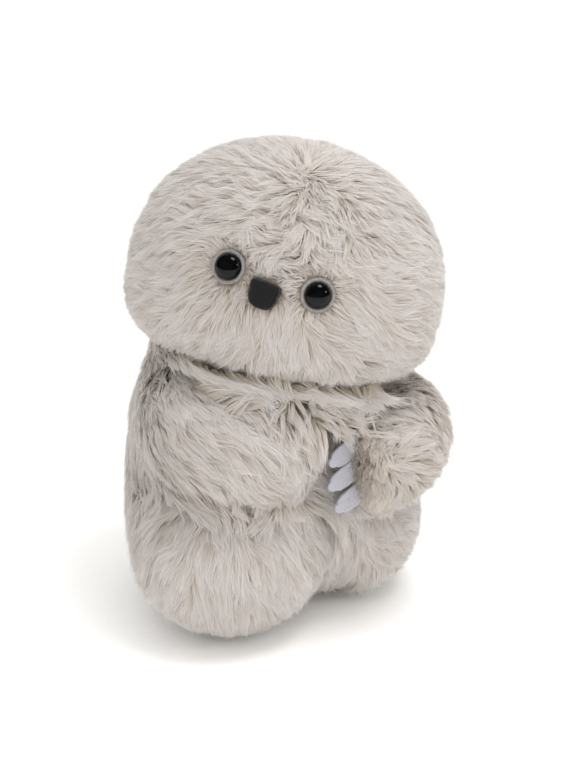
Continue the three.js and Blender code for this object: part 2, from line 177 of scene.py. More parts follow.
# The toy's forms, with the sizes of the sewn model
toyFront, upward = np.array([0, -1.0, 0]), np.array([0, 0, 1.0])
standDepth = 0.5
neckPole = np.array([4, -7, 140.0])
headAxis = unit(np.array([math.tan(math.radians(13)), math.tan(math.radians(7)), 1]))
chinDepth, crownHeight, nestDepth = 43, 66, 24.5
headCentre = neckPole + headAxis * (chinDepth - nestDepth)
headTurn = math.radians(30)


def form(root, bend, end, wide, deep, equator, rootBlunt, tipBlunt, facing=upward, roundRoot=False):
    return {"spine": np.array([root, bend, end], float), "facing": facing, "wide": wide, "deep": deep,
            "equator": equator, "rootBlunt": rootBlunt, "tipBlunt": tipBlunt, "roundRoot": roundRoot}


chin, crown = headCentre - headAxis * chinDepth, headCentre + headAxis * crownHeight
neckHeight = neckPole[2]
forms = {
    "body": form((-8, 8, -standDepth), (-10, 10, 70), neckPole, 61, 54, 0.42, 2.7, 2.9, toyFront),
    "head": form(chin, (chin + crown) / 2, crown, 74.5, 65, chinDepth / (chinDepth + crownHeight), 3.2, 2.05,
                 np.array([-math.sin(headTurn), -math.cos(headTurn), 0]), True),
    "arm_left": form((42, 2, neckHeight - 43), (86, -60, neckHeight - 51), (18, -62, neckHeight - 60),
                     18, 24, 0.6, 2, 3.4),
    "arm_right": form((-40, 4, neckHeight - 36), (-82, -56, neckHeight - 34), (1, -62, neckHeight - 53),
                      19, 24, 0.6, 2, 2.6),
    "leg_left": form((-2, 6, 36 - standDepth), (22, -8, 36 - standDepth), (67.5, -35, 36 - standDepth),
                     39, 36, 0.62, 2, 2.2),
    "leg_right": form((-26, 10, 37 - standDepth), (-34, -20, 37 - standDepth), (-31, -75.5, 37 - standDepth),
                      46, 37, 0.58, 2, 2.2),
}

# The sewn model stands centred over the origin, so its head shows how far everything is moved.
sewnRings, sewnTurns = 18, 32
headPoints = formGrid(forms["head"], np.arange(sewnRings + 1) / sewnRings, sewnTurns)[0].reshape(-1, 3)
headLow, headHigh = (np.array(corner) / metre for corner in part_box("head_skin"))
moved = (headLow + headHigh) / 2 - (headPoints.min(0) + headPoints.max(0)) / 2
moved[2] = 0
print("centred by", moved.round(2), "mm")


# Meshes: faces is a list of index arrays with equal sides, and maps the matching corner places.
def makeMesh(name, points, faces, maps=None, normals=None):
    mesh = bpy.data.meshes.new(name)
    corners = np.concatenate([f.reshape(-1) for f in faces])
    sides = np.concatenate([np.full(len(f), f.shape[1]) for f in faces])
    starts = np.concatenate([[0], np.cumsum(sides)[:-1]])
    mesh.vertices.add(len(points))
    mesh.vertices.foreach_set("co", ((points + moved) * metre).astype(np.float32).reshape(-1))
    mesh.loops.add(len(corners))
    mesh.loops.foreach_set("vertex_index", corners.astype(np.int32))
    mesh.polygons.add(len(sides))
    mesh.polygons.foreach_set("loop_start", starts.astype(np.int32))
    if maps is not None:
        layer = mesh.uv_layers.new(name="OFBake")
        places = np.concatenate([m.reshape(-1, 2) for m in maps])
        layer.data.foreach_set("uv", places.astype(np.float32).reshape(-1))
    mesh.update(calc_edges=True)
    mesh.polygons.foreach_set("use_smooth", np.full(len(sides), True))
    mesh.validate()
    if normals is not None:
        mesh.normals_split_custom_set_from_vertices(normals.astype(np.float32))
    piece = bpy.data.objects.new(name, mesh)
    bpy.context.scene.collection.objects.link(piece)
    return piece


def gridFaces(rows, columns):  # quads of a grid whose columns close into rings
    r, c = np.meshgrid(np.arange(rows - 1), np.arange(columns), indexing="ij")
    n = (c + 1) % columns
    quads = [r * columns + c, (r + 1) * columns + c, (r + 1) * columns + n, r * columns + n]
    return np.stack(quads, -1).reshape(-1, 4)


# Materials: one function adds a node, and colours are sRGB hex values turned to linear.
def linear(hexColour):
    parts = [int(hexColour[i:i + 2], 16) / 255 for i in (0, 2, 4)]
    return tuple(p / 12.92 if p <= 0.04045 else ((p + 0.055) / 1.055) ** 2.4 for p in parts) + (1.0,)


def addNode(tree, kind, settings=None, links=None):
    node = tree.nodes.new(kind)
    for key, value in (settings or {}).items():
        if key == "stops":
            while len(node.color_ramp.elements) < len(value):
                node.color_ramp.elements.new(0.5)
            for element, (place, colour) in zip(node.color_ramp.elements, value):
                element.position, element.color = place, linear(colour)
        elif key in node.inputs:
            node.inputs[key].default_value = value
        else:
            setattr(node, key, value)
    for key, source in (links or {}).items():
        tree.links.new(source, node.inputs[key])
    return node


def newMaterial(name, roughness, specular, sheen=(0, 0.5), **more):
    material = bpy.data.materials.new(name)
    material.use_nodes = True
    tree = material.node_tree
    tree.nodes.clear()
    shader = addNode(tree, "ShaderNodeBsdfPrincipled", {
        "Roughness": roughness, "Specular IOR Level": specular, "Sheen Weight": sheen[0],
        "Sheen Roughness": sheen[1], **more})
    output = addNode(tree, "ShaderNodeOutputMaterial", links={"Surface": shader.outputs[0]})
    return material, tree, shader, output


# Acrylic fibre, crimped and tip-sheared: pale silky tips over tan roots that show where the pile
# parts. The tan towards the roots is partly the fibre's own colour and partly painted shade, standing
# in for the shade deep in the pile between tufts. Across the map the fibres go from dark to pale, and
# up it from root to tip. Such thin fibres pass on nearly half of the light, which keeps the gaps
# between them soft.
def fibreMaterial(name, dark, pale):
    material, tree, shader, output = newMaterial(name, 0.6, 0.25, (0.25, 0.5))
    place = addNode(tree, "ShaderNodeUVMap", {"uv_map": "OFBake"})
    parts = addNode(tree, "ShaderNodeSeparateXYZ", links={"Vector": place.outputs[0]})
    tints = [addNode(tree, "ShaderNodeValToRGB", {"stops": stops}, {"Fac": parts.outputs["Y"]}).outputs[0]
             for stops in (dark, pale)]
    mix = addNode(tree, "ShaderNodeMix", {"data_type": "RGBA"},
                  {0: parts.outputs["X"], 6: tints[0], 7: tints[1]})
    tree.links.new(mix.outputs[2], shader.inputs["Base Color"])
    through = addNode(tree, "ShaderNodeBsdfTranslucent", links={"Color": mix.outputs[2]})
    both = addNode(tree, "ShaderNodeMixShader", {"Fac": 0.45}, {1: shader.outputs[0], 2: through.outputs[0]})
    tree.links.new(both.outputs[0], output.inputs["Surface"])
    return material


# Root-to-tip ramps, dark tone then pale: the darker, tanner root stops are partly the fibre's own colour and
# partly painted shade of the pile's depths
furPile = fibreMaterial("acrylicFurPile",
                        [(0, "b8a78f"), (0.35, "cec4b8"), (0.7, "dad4cf"), (1, "e3e0dd")],
                        [(0, "c9bba6"), (0.35, "ddd6ce"), (0.7, "e8e4e1"), (1, "f1efee")])
cuffPile = fibreMaterial("shearedCuffPile", [(0, "c8bba9"), (0.5, "dbd2c8"), (1, "e4ded8")],
                         [(0, "d8ccbb"), (0.5, "e9e1d8"), (1, "f2eee9")])
feltFuzz = fibreMaterial("feltSurfaceFuzz", [(0, "95929a"), (1, "aeacb4")], [(0, "a9a7af"), (1, "c4c3ca")])


# A surface that a pattern tints between its stops and raises by its height in millimetres
def patterned(tree, shader, value, stops, strength, height):
    tint = addNode(tree, "ShaderNodeValToRGB", {"stops": stops}, {"Fac": value})
    bump = addNode(tree, "ShaderNodeBump", {"Strength": strength, "Distance": height * metre},
                   {"Height": value})
    tree.links.new(tint.outputs[0], shader.inputs["Base Color"])
    tree.links.new(bump.outputs[0], shader.inputs["Normal"])


# Knitted polyester backing, seen only deep between tufts: tan loops 1.2 mm apart
def knitMaterial(name, low, high, spacing):
    material, tree, shader, output = newMaterial(name, 0.9, 0.2)
    place = addNode(tree, "ShaderNodeTexCoord").outputs["Object"]
    loops = addNode(tree, "ShaderNodeTexVoronoi", {"Scale": 1 / (spacing * metre)}, {"Vector": place})
    patterned(tree, shader, loops.outputs["Distance"], [(0, low), (0.6, high)], 0.4, 0.4)
    return material


# Cloths and plastics with one grain: noise of a real size in millimetres
def grainMaterial(name, low, high, size, height, roughness, specular, sheen=(0, 0.5), detail=4, **more):
    material, tree, shader, output = newMaterial(name, roughness, specular, sheen, **more)
    place = addNode(tree, "ShaderNodeTexCoord").outputs["Object"]
    grain = addNode(tree, "ShaderNodeTexNoise",
                    {"Scale": 1 / (size * metre), "Detail": detail, "Roughness": 0.6}, {"Vector": place})
    patterned(tree, shader, grain.outputs["Fac"], [(0.35, low), (0.65, high)], 0.5, height)
    return material


# Twill-woven beak cloth: slanting threads that cross, black with worn grey crowns
def twillMaterial(name, low, high, spacing):
    material, tree, shader, output = newMaterial(name, 0.85, 0.15, (0.15, 0.4))
    place = addNode(tree, "ShaderNodeTexCoord").outputs["Object"]
    waves = {}
    for key, angle in enumerate((0.6, -0.7)):
        slant = addNode(tree, "ShaderNodeMapping", {"Rotation": (angle, 0.3, angle)}, {"Vector": place})
        waves[key] = addNode(tree, "ShaderNodeTexWave", {
            "Scale": 1 / (6.28 * spacing * metre), "Distortion": 1.5, "Detail": 1, "Detail Scale": 2},
            {"Vector": slant.outputs[0]}).outputs["Fac"]
    cross = addNode(tree, "ShaderNodeMath", {"operation": "MULTIPLY"}, waves)
    patterned(tree, shader, cross.outputs[0], [(0.2, low), (1, high)], 0.7, 0.15)
    return material


knitBacking = knitMaterial("knittedBacking", "d8cdbf", "c2b5a4", 1.2)
beakTwill = twillMaterial("wovenBlackTwill", "161516", "2b292a", 0.22)
beakThread = grainMaterial("blackSewingThread", "262324", "4c4849", 0.3, 0.05, 0.7, 0.3)
# Polished moulded acrylic: near black and mirror smooth, with a faint moulding ripple
eyeAcrylic = grainMaterial("polishedBlackAcrylic", "060607", "0b0b0d", 3, 0.004, 0.05, 0.22, detail=1, IOR=1.49)
# Moulded ABS ring: matt grey, a little dusty with fibre lint
rimPlastic = grainMaterial("mouldedGreyRing", "75716f", "918d8a", 0.9, 0.03, 0.55, 0.35)
# Injection-moulded polypropylene: milky and slightly waxy
washerPlastic = grainMaterial("mouldedWhitePolypropylene", "d5d2cb", "e3e1dc", 1.5, 0.02, 0.45, 0.4)
# Pressed acrylic felt: matted lilac-grey fibres, no weave
clawFelt = grainMaterial("pressedGreyFelt", "9c9aa2", "b3b2ba", 0.5, 0.12, 0.95, 0.15, (0.3, 0.6))
# Polyester fibrefill: white matted wadding
fibrefill = grainMaterial("polyesterFibrefill", "dcd9d3", "f3f1ed", 0.8, 0.4, 0.95, 0.1, (0.2, 0.5))
# Plain-woven calico of the pellet bag: unbleached cotton with slubs
calico = grainMaterial("unbleachedCalico", "d3cab9", "e6dfd2", 0.5, 0.08, 0.9, 0.15)


# Smooth random ripples: a sum of waves in random directions, about one unit high
def ripple(points, wavelength, seed, waves=10):
    chance = np.random.default_rng(seed)
    ways = unit(chance.normal(size=(waves, 3))) * (2 * np.pi / wavelength)
    ways = ways * chance.uniform(0.6, 1.4, (waves, 1))
    return np.sin(points @ ways.T + chance.uniform(0, 2 * np.pi, waves)).sum(-1) / math.sqrt(waves / 2)


# A closed form from rows of equal rings: a point closes each end, or the rows close on themselves.
def ringForm(name, rows, material, body, poles=None):
    count, columns = rows.shape[:2]
    index = np.arange(columns)
    after, last = (index + 1) % columns, (count - 1) * columns
    points, faces = rows.reshape(-1, 3), [gridFaces(count, columns)]
    if poles is None:
        faces.append(np.stack([last + index, index, after, last + after], -1))
    else:
        points = np.concatenate([points, poles])
        faces.append(np.stack([0 * index + count * columns, index, after], 1))
        faces.append(np.stack([0 * index + count * columns + 1, last + after, last + index], 1))
    return finished(makeMesh(name, points, faces), material, body)


def finished(piece, material, body):
    piece.data.materials.append(material)
    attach(piece, body)
    return piece


# Eyes and beak: places on the head, each with its frame of right, crown and outward ways
def faceFrame(ring, turn, roll=0.0):
    head = forms["head"]
    ring, turn = np.array([ring]), np.array([turn])
    step = 1e-3
    here = formPoint(head, ring, turn)[0]
    up = formPoint(head, ring + step, turn)[0] - here
    across = formPoint(head, ring, turn - step)[0] - here
    outward = unit(np.cross(across, up))
    right = turned(unit(np.cross(up, outward)), outward, np.array(roll))
    return here, right, np.cross(outward, right), outward


eye = {"ring": 0.528, "rowTilt": 0.013, "spread": math.radians(16.4), "radius": 5.9, "dome": 4.2, "gap": 0.3,
       "rimWidth": 1.5, "rimHeight": 1.8, "pocket": 4, "stem": 2, "stemLength": 9.5, "edge": 0.3,
       "rimEdge": 0.45, "steps": 64, "arcs": 20}
beak = {"ring": 0.503, "turn": math.radians(92), "roll": math.radians(-12), "wide": 7.5, "rise": 5, "drop": 6.9,
        "corner": 0.42, "seat": 2.4, "side": 2.2, "dome": 2.2, "ruck": 0.1, "ruckLength": 3.5, "curveSteps": 16,
        "rings": 14, "stitches": 54, "thread": 0.27, "threadSides": 6, "bite": 1.5, "slant": 0.45}
eyeFrames = {name: faceFrame(eye["ring"] + way * eye["rowTilt"], math.pi / 2 + way * eye["spread"])
             for name, way in (("right", 1), ("left", -1))}
beakFrame = faceFrame(beak["ring"], beak["turn"], beak["roll"])


# Corners of a profile, rounded by a short curve that starts and ends on the edges beside each
def softened(profile, radius):
    profile = np.array(profile, float)
    points = [profile[0]]
    for before, corner, after in zip(profile, profile[1:], profile[2:]):
        a, b = before - corner, after - corner
        cut = min(radius, 0.45 * np.linalg.norm(a), 0.45 * np.linalg.norm(b))
        points.extend(bent((corner + unit(a) * cut, corner, corner + unit(b) * cut), np.linspace(0, 1, 5)))
    return np.array(points + [profile[-1]])


# Turned piece: a profile of (radius, height) from the top down, carried round a face frame's outward
# way. It closes at a point at each end, or on itself as a ring.
def turnedPiece(name, profile, place, material, node, ring):
    here, right, up, outward = place
    turn = np.arange(eye["steps"]) * 2 * np.pi / eye["steps"]
    radius, height = profile.T
    spoke = np.cos(turn)[:, None] * right + np.sin(turn)[:, None] * up
    rows = here + radius[:, None, None] * spoke + ((height - eye["pocket"])[:, None] * outward)[:, None]
    rows, poles = (rows[:-1], None) if ring else (rows[1:-1], rows[[0, -1], 0])
    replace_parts(ringForm(name, rows, material, "head", poles), node)


radius, gap, rimHeight = eye["radius"], eye["gap"], eye["rimHeight"]
arc = np.linspace(np.pi / 2, 0, eye["arcs"] + 1)
domeLine = np.stack([radius * np.cos(arc), rimHeight + eye["dome"] * np.sin(arc)], -1)
stemLine = softened([(radius, rimHeight), (radius, gap), (eye["stem"], gap), (eye["stem"], -eye["stemLength"]),
                     (0, -eye["stemLength"])], eye["edge"])
inner, middle = radius + gap, rimHeight * 0.5
outer = inner + eye["rimWidth"]
rimLine = softened([(outer, middle), (outer, gap), (inner, gap), (inner, rimHeight), (outer, rimHeight),
                    (outer, middle)], eye["rimEdge"])
for side, place in eyeFrames.items():
    turnedPiece(f"eye_dome_{side}", np.concatenate([domeLine, stemLine[1:]]), place, eyeAcrylic,
                f"eye_{side}", False)
    turnedPiece(f"eye_ring_{side}", rimLine, place, rimPlastic, f"eye_rim_{side}", True)
    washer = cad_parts[f"eye_washer_{side}"]
    washer.data.materials.clear()
    washer.data.materials.append(washerPlastic)
print("eyes and lock washers made")


def cubicShares(t):  # how much each of a cubic curve's four points counts
    return (1 - t) ** 3, 3 * t * (1 - t) ** 2, 3 * t * t * (1 - t), t ** 3


# Beak outline, clockwise from the top edge: flat top, rounded corners, sides that meet in a low curve
def beakOutline():
    wide, top, low = beak["wide"], beak["rise"], -beak["drop"]
    corner = wide * beak["corner"]
    inner, side = wide - corner, wide - corner / 3
    shares = cubicShares(np.linspace(0, 1, beak["curveSteps"], endpoint=False)[:, None])
    curves = [((-inner, top), (-wide / 3, top), (wide / 3, top), (inner, top)),
              ((inner, top), (wide, top), (wide, top - corner), (side, 0)),
              ((side, 0), (side, low * 0.75), (wide * 0.6, low), (0, low)),
              ((0, low), (-wide * 0.6, low), (-wide + corner / 2, low * 0.75), (-side, 0)),
              ((-side, 0), (-wide, top - corner), (-wide, top), (-inner, top))]
    return np.concatenate([sum(share * np.array(point) for share, point in zip(shares, curve))
                           for curve in curves])


def onBeak(flat, height):  # place over the beak's seat, which lies in the head's fur
    here, right, up, outward = beakFrame
    return here + flat[..., :1] * right + flat[..., 1:] * up + (height - beak["seat"])[..., None] * outward


# Padded patch: the outline rises up its side, then draws in to the middle as it domes
def beakPiece():
    share = np.linspace(0, 0.97, beak["rings"]) * np.pi / 2
    draw = np.concatenate([[0.96, 1.0], np.cos(share)])
    lift = np.concatenate([[0.0, 0.3], beak["side"] + beak["dome"] * np.sin(share)])
    flat = beakOutline()[None] * draw[:, None, None]
    height = lift[:, None] + 0 * flat[..., 0]
    solid = np.concatenate([flat, height[..., None]], -1).reshape(-1, 3)
    ruck = beak["ruck"] * ripple(solid, beak["ruckLength"], 11).reshape(height.shape)
    poles = onBeak(np.zeros((2, 2)), np.array([0.0, beak["side"] + beak["dome"]]))
    piece = ringForm("beak_patch", onBeak(flat, height + ruck * (height > 1)), beakTwill, "head",
                     poles)
    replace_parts(piece, "beak")


# Whip stitches: each thread goes in on the beak's crown, over its edge and down its side, as a tube
# with a ring of corners square to its path at each place
def beakStitches():
    chance = np.random.default_rng(5)
    count, sides = beak["stitches"], beak["threadSides"]
    outline = beakOutline()
    closed = np.concatenate([outline, outline[:1]])
    run = np.concatenate([[0], np.cumsum(np.linalg.norm(np.diff(closed, axis=0), axis=1))])
    at = (np.arange(count) + chance.uniform(-0.2, 0.2, count)) * run[-1] / count
    edge = np.stack([np.interp(at, run, closed[:, k]) for k in (0, 1)], -1)
    slant = np.stack([np.interp(at + beak["slant"], run, closed[:, k], period=run[-1]) for k in (0, 1)], -1)
    inward = -unit(edge)
    bite = beak["bite"] * chance.uniform(0.75, 1.25, count)[:, None]
    places = [(slant + inward * bite, 0.75), (slant + inward * bite * 0.5, 0.62),
              (slant * 0.5 + edge * 0.5, 0.3), (edge - inward * 0.1, -0.3), (edge - inward * 0.05, -1.2)]
    paths = np.stack([onBeak(flat, 0 * at + beak["side"] + height * 1.1) for flat, height in places], 1)
    along = unit(np.gradient(paths, axis=1))
    side = unit(np.cross(along, np.array([0.31, 0.52, 0.8])))
    up = np.cross(along, side)
    angle = np.arange(sides) * 2 * np.pi / sides
    ring = np.cos(angle)[:, None] * side[:, :, None] + np.sin(angle)[:, None] * up[:, :, None]
    width = beak["thread"] * np.array([0.55, 1, 1, 1, 0.55])
    points = paths[:, :, None] + ring * width[None, :, None, None]
    base = (np.arange(count) * len(places) * sides)[:, None, None]
    quads = (gridFaces(len(places), sides)[None] + base).reshape(-1, 4)
    caps = np.stack([np.arange(sides), (len(places) - 1) * sides + np.arange(sides)[::-1]])
    stitches = makeMesh("beak_stitches", points.reshape(-1, 3), [quads, (caps[None] + base).reshape(-1, sides)])
    finished(stitches, beakThread, "head")


beakPiece()
beakStitches()
print("beak and its stitches made")

# Felt claws, sewn into each hand's end: cut to one outline, edges rounded by handling
claw = {"length": 18, "rootWidth": 10, "tipWidth": 5.5, "thickness": 1.6, "edge": 0.6, "rough": 0.09,
        "roughLength": 2.2, "steps": 9, "fuzz": 420, "fuzzLength": 0.9, "fuzzWidth": (0.06, 0.1),
        "middle": (-8, 0, 0)}
hands = {"left": {"arm": "arm_left", "sideOffset": 3, "rootInset": 5.5, "hidden": 0, "pitch": 12, "curl": 0,
                  "droop": 24},
         "right": {"arm": "arm_right", "sideOffset": -6, "rootInset": 14, "hidden": 12, "pitch": 9.5,
                   "curl": 40, "droop": 10}}


def handFrame(hand, frontOffset):  # place on the arm's end, with its ways along the claw, up and across
    shape = forms[hand["arm"]]
    spread = math.hypot(hand["sideOffset"] / shape["wide"], frontOffset / shape["deep"])
    blunt = shape["tipBlunt"]
    travel = (1 - min(spread, 1) ** blunt) ** (1 / blunt)
    share = np.array([shape["equator"] + (1 - shape["equator"]) * travel])
    centre, along, side, front = (values[0] for values in spineFrame(shape, share))
    centre = centre + side * hand["sideOffset"] + front * frontOffset
    basis = np.stack([along, front, np.cross(along, front)], 1)
    curl, droop = math.radians(hand["curl"]), -math.radians(hand["droop"])
    bend = np.array([[math.cos(curl), 0, math.sin(curl)], [0, 1, 0], [-math.sin(curl), 0, math.cos(curl)]])
    turn = np.array([[math.cos(droop), -math.sin(droop), 0], [math.sin(droop), math.cos(droop), 0], [0, 0, 1]])
    return centre, basis @ bend @ turn


# Fur. A coat is one form's pile: locks, tufts that lean into their lock, and strands that draw in to
# their tuft. Combing strokes are read off the photograph: the pixel place, the way the tips point
# (0 right, 90 up), and shares of the coat's length, lift and tousle where they aren't the coat's own.
pile = {"lockSpacing": 7, "tuftSpacing": 2.5, "over": 0.6, "softness": 0.72, "comb": 0.1,
        "combShares": (1, 0.6, 0.35), "rootBack": 0.3, "guide": ((0.18, 0.55), (0.62, 0.97), (1, 1)),
        "lowest": 1.5, "fullest": 4, "tallest": 5.5, "freeFall": 12, "buried": 0.5, "floor": 0.2,
        "seam": 0.55, "seamWidth": 2.5, "mapCells": 64}
layers = {"fur": {"strands": 12, "reach": 0.93, "stray": 0.75, "draw": 1, "steps": 4, "width": (0.22, 0.4),
                  "most": 39000},
          "underfur": {"strands": 6, "reach": 0.74, "stray": 0.4, "draw": 0.3, "steps": 3, "width": (0.5, 0.8),
                       "most": 65000}}
# Spreads of what chance adds to each lock, tuft and strand
spreads = {"lock": {"turn": 0.14, "length": 0.08, "rise": 0.35, "tone": 0.08, "bend": 0.12},
           "tuft": {"turn": 0.14, "length": 0.08, "rise": 0.35, "bend": 0.1, "tone": 0.05},
           "strand": {"reach": 0.09, "tone": 0.13, "roll": 0.4}}
# How far tufts lean into their lock and strands draw in to their tuft: least, more for tousle, spread
# by chance, and most
gathers = {"lean": (0.05, 0.16, 0.08, 0.6), "draw": (0.12, 0.24, 0.15, 0.9)}
# Slow ripples of the pile, each of its wavelength in millimetres and its height
ripples = {"swirl": (34, 0.3), "curl": (13, 0.35), "length": (15, 0.08), "rise": (20, 0.5), "bend": (11, 0.2),
           "whorl": (9, 1.6)}
coats = {
    "head": {
        "form": "head", "length": 17, "pileDepth": 6, "comb": (0, 1.5, -1), "reach": 20,
        "shares": (1, 0.3, 0.1), "strokes": [
        (292, 186, 170, 0.8, 0.6, 0.7), (316, 186, 10, 0.8, 0.6, 0.7), (304, 200, 250, 0.8, 0.9, 1),
        (225, 145, 175), (250, 143, 165), (275, 140, 145), (300, 140, 100), (325, 148, 45), (350, 160, 10),
        (205, 162, 190, 1, 0.4, 0.2), (235, 165, 182, 1, 0.4, 0.2), (262, 165, 175, 1, 0.4, 0.2),
        (290, 165, 160, 1, 0.4, 0.3), (322, 168, 10, 1, 0.4, 0.2), (345, 178, -15, 1, 0.4, 0.3),
        (180, 182, 200, 1, 0.4, 0.2), (225, 182, 188, 0.8, 0.6, 0.75), (255, 185, 188, 0.8, 0.8, 0.85),
        (170, 205, 200, 1, 0.7, 0.4), (215, 205, 190, 0.8, 1, 1.15), (262, 205, 205, 0.8, 1.1, 1.45),
        (290, 192, 205, 0.8, 1, 1.25), (315, 205, 285, 0.8, 1.1, 1.55), (345, 170, 310, 1, 0.5, 0.2),
        (345, 195, -40, 0.8, 0.9, 1.15), (375, 185, -35, 0.8, 0.5, 0.45), (300, 228, 215, 0.7, 1.2, 1.8),
        (325, 240, 262, 0.7, 1.2, 1.8), (365, 225, -40, 0.8, 1, 1.25), (352, 252, -75, 0.8, 1, 1.55),
        (190, 226, 205, 0.8, 1.3, 0.85), (225, 226, 205, 0.8, 1.2, 1.05), (255, 235, 215, 0.8, 1.1, 1.35),
        (278, 255, 235, 0.7, 1, 1.45), (290, 272, 250, 0.6, 0.8, 0.6), (160, 240, 195, 1, 0.7, 0.4),
        (190, 245, 255, 0.8, 0.9, 1.05), (200, 260, 215, 0.7, 0.8, 0.95), (150, 285, 195, 1, 0.6, 0.3),
        (180, 275, 185, 0.9, 0.9, 0.8), (205, 312, 335, 0.9, 1.1, 0.7), (175, 305, 190, 1, 0.9, 0.7),
        (160, 325, 200, 1, 0.7, 0.3), (185, 338, 200, 1, 0.9, 0.5), (245, 272, 250, 0.5, 0.7, 0.3),
        (235, 302, 245, 0.6, 0.8, 0.4), (248, 325, 225, 1, 1.1, 0.6), (225, 335, 215, 1, 1.1, 0.7),
        (265, 322, 262, 0.8, 1, 0.5), (292, 318, 290, 0.8, 1.1, 0.6), (305, 340, 300, 1, 1, 0.6),
        (275, 345, 262, 1, 1, 0.5), (340, 325, -25, 1, 1, 0.7), (355, 345, -12, 1, 0.8, 0.5),
        (370, 300, -15, 1, 1.2, 1), (355, 280, 5, 0.9, 1, 0.8), (390, 275, 0, 1, 1, 0.8),
        (405, 250, -10, 1, 0.7, 0.3), (395, 215, -45, 1, 0.5, 0.2), (420, 290, -20, 1, 0.5, 0.2),
        (395, 335, -15, 1, 0.9, 0.7), (425, 240, -50, 1, 0.4, 0.1), (200, 350, 190, 1, 0.8, 0.4),
    ]},
    "body": {
        "form": "body", "length": 17, "pileDepth": 6, "comb": (0, 0.2, -1), "reach": 20,
        "shares": (1, 0.4, 0.2), "strokes": [
        (170, 372, -15, 1, 0.8, 0.5), (215, 378, -10, 1, 0.9, 0.6), (255, 385, -25, 1, 1, 0.8),
        (285, 375, -50, 0.8, 1.3, 1.5), (320, 385, 250, 0.8, 1.3, 1.6), (300, 405, -60, 0.8, 1.3, 1.6),
        (330, 420, -110, 0.8, 1.3, 1.5), (265, 410, -30, 0.9, 1.2, 1.2), (305, 435, -80, 0.8, 1.3, 1.6),
        (370, 385, -20, 1, 0.9, 0.9), (345, 400, -60, 0.9, 1.1, 1.4), (300, 462, -85, 1, 0.9, 0.7),
        (320, 500, -88, 1, 1.2, 0.7), (305, 540, -80, 1, 1.2, 0.7), (130, 425, -85), (145, 368, -100),
        (138, 400, -100), (138, 440, -92), (155, 470, -58, 1.2, 0.4, 0.2), (170, 495, -45, 1.2, 0.4, 0.2),
        (130, 480, -85), (168, 362, -70, 1, 0.5, 0.2), (365, 378, -20, 1.05, 0.6, 0.5),
        (385, 378, -28, 1.05, 0.6, 0.4), (375, 400, -25, 1.05, 0.6, 0.4), (400, 390, -35, 1.05, 0.6, 0.4),
        (428, 362, -70, 0.8, 0.3, 0.1), (438, 385, -80, 0.8, 0.3, 0.1), (412, 402, -45, 1, 0.5, 0.3),
        (322, 445, -15, 1.2, 0.9, 0.6), (320, 470, -25, 1.2, 0.9, 0.6), (322, 495, -40, 1.2, 0.9, 0.5),
    ]},
    "arm_left": {
        "form": "arm_left", "length": 13, "pileDepth": 5.6, "comb": (0.4, -0.6, -0.8), "along": 0.3,
        "reach": 16, "seams": [[(352, 438), (364, 431), (378, 427), (430, 415)]], "shares": (1, 0.9, 0.5),
        "strokes": [
        (400, 382, -35, 1, 0.6, 0.4), (425, 395, -50, 0.9, 0.5, 0.3), (444, 420, -80, 0.9, 0.4, 0.2),
        (375, 400, -20, 1, 0.8, 0.7), (385, 432, -10, 0.7, 0.9, 1), (400, 440, 20, 0.8, 1, 1.3),
        (425, 445, -40, 1, 0.7, 0.5), (385, 465, 20, 0.7, 1, 1.3), (405, 470, 15, 0.8, 1, 1.2),
        (420, 485, -60, 1, 0.8, 0.6), (385, 495, -80, 0.9, 1, 0.8), (385, 512, -88), (410, 510, -85),
        (360, 512, -90),
    ]},
    "cuff_left": {
        "form": "arm_left", "length": 6.6, "pileDepth": 5, "over": 1.8, "comb": (0, 0, -1), "reach": 12,
        "furStrands": 18, "lockSpacing": 3, "shares": (1, 0.2, 0.25), "strokes": [
        (362, 440, -60), (362, 465, -50), (362, 490, -60),
    ]},
    "arm_right": {
        "form": "arm_right", "length": 18, "pileDepth": 6, "comb": (0.3, -0.5, -1), "along": 0.2,
        "reach": 20, "hang": 0.6, "shares": (1, 0.9, 0.5), "strokes": [
        (158, 375, -96, 1, 0.3, 0.1), (148, 398, -96, 1, 0.3, 0.1), (142, 425, -88, 1, 0.4, 0.2),
        (172, 392, -62, 1, 0.5, 0.2), (165, 420, -38, 1, 0.6, 0.3), (190, 408, -18, 1, 0.9, 0.6),
        (235, 415, -20, 1, 1, 0.7), (270, 430, -35, 1, 1, 0.9), (180, 445, -35), (225, 450, -30, 1, 1, 0.6),
        (260, 462, -40, 1, 1, 0.7), (290, 455, -60, 1, 1, 0.9), (158, 465, -48, 1, 0.5, 0.3),
        (210, 475, -35), (285, 485, -75),
    ]},
    "leg_left": {
        "form": "leg_left", "length": 17, "pileDepth": 6, "comb": (0, 0, -1), "along": 0.6, "reach": 18,
        "shares": (0.8, 2, 1.2), "strokes": [
        (345, 532, -100, 1, 1, 0.5), (328, 552, 240, 1, 1, 0.5), (350, 560, -85, 0.8, 2.2, 1.3),
        (375, 535, -30), (385, 555, -50), (335, 580, -110), (400, 535, -35, 1, 0.6, 0.2),
    ]},
    "leg_right": {
        "form": "leg_right", "length": 19, "pileDepth": 6, "comb": (0, 0, -1), "along": 0.6, "reach": 18,
        "shares": (1, 0.8, 0.5), "strokes": [
        (155, 500, 225, 1, 0.6, 0.3), (142, 545, 250, 1, 0.5, 0.2), (190, 505, 235, 1, 0.7, 0.5),
        (215, 505, 262), (240, 505, 300), (180, 545, 245, 1, 0.7, 0.5), (215, 545, 265), (245, 535, 290),
        (270, 520, -40, 1, 1, 0.5), (260, 565, -65, 1, 1, 0.5), (290, 560, -50, 1, 0.7, 0.3),
        (170, 590, 245, 1, 0.7, 0.3), (215, 590, 268, 1, 0.9, 0.4), (265, 600, -70, 1, 0.6, 0.3),
    ]},
}


def wave(kind, points, seed):
    wavelength, height = ripples[kind]
    return ripple(points, wavelength, seed + list(ripples).index(kind) + 1) * height


def chosen(mask, *arrays):
    return [values[mask] for values in arrays]


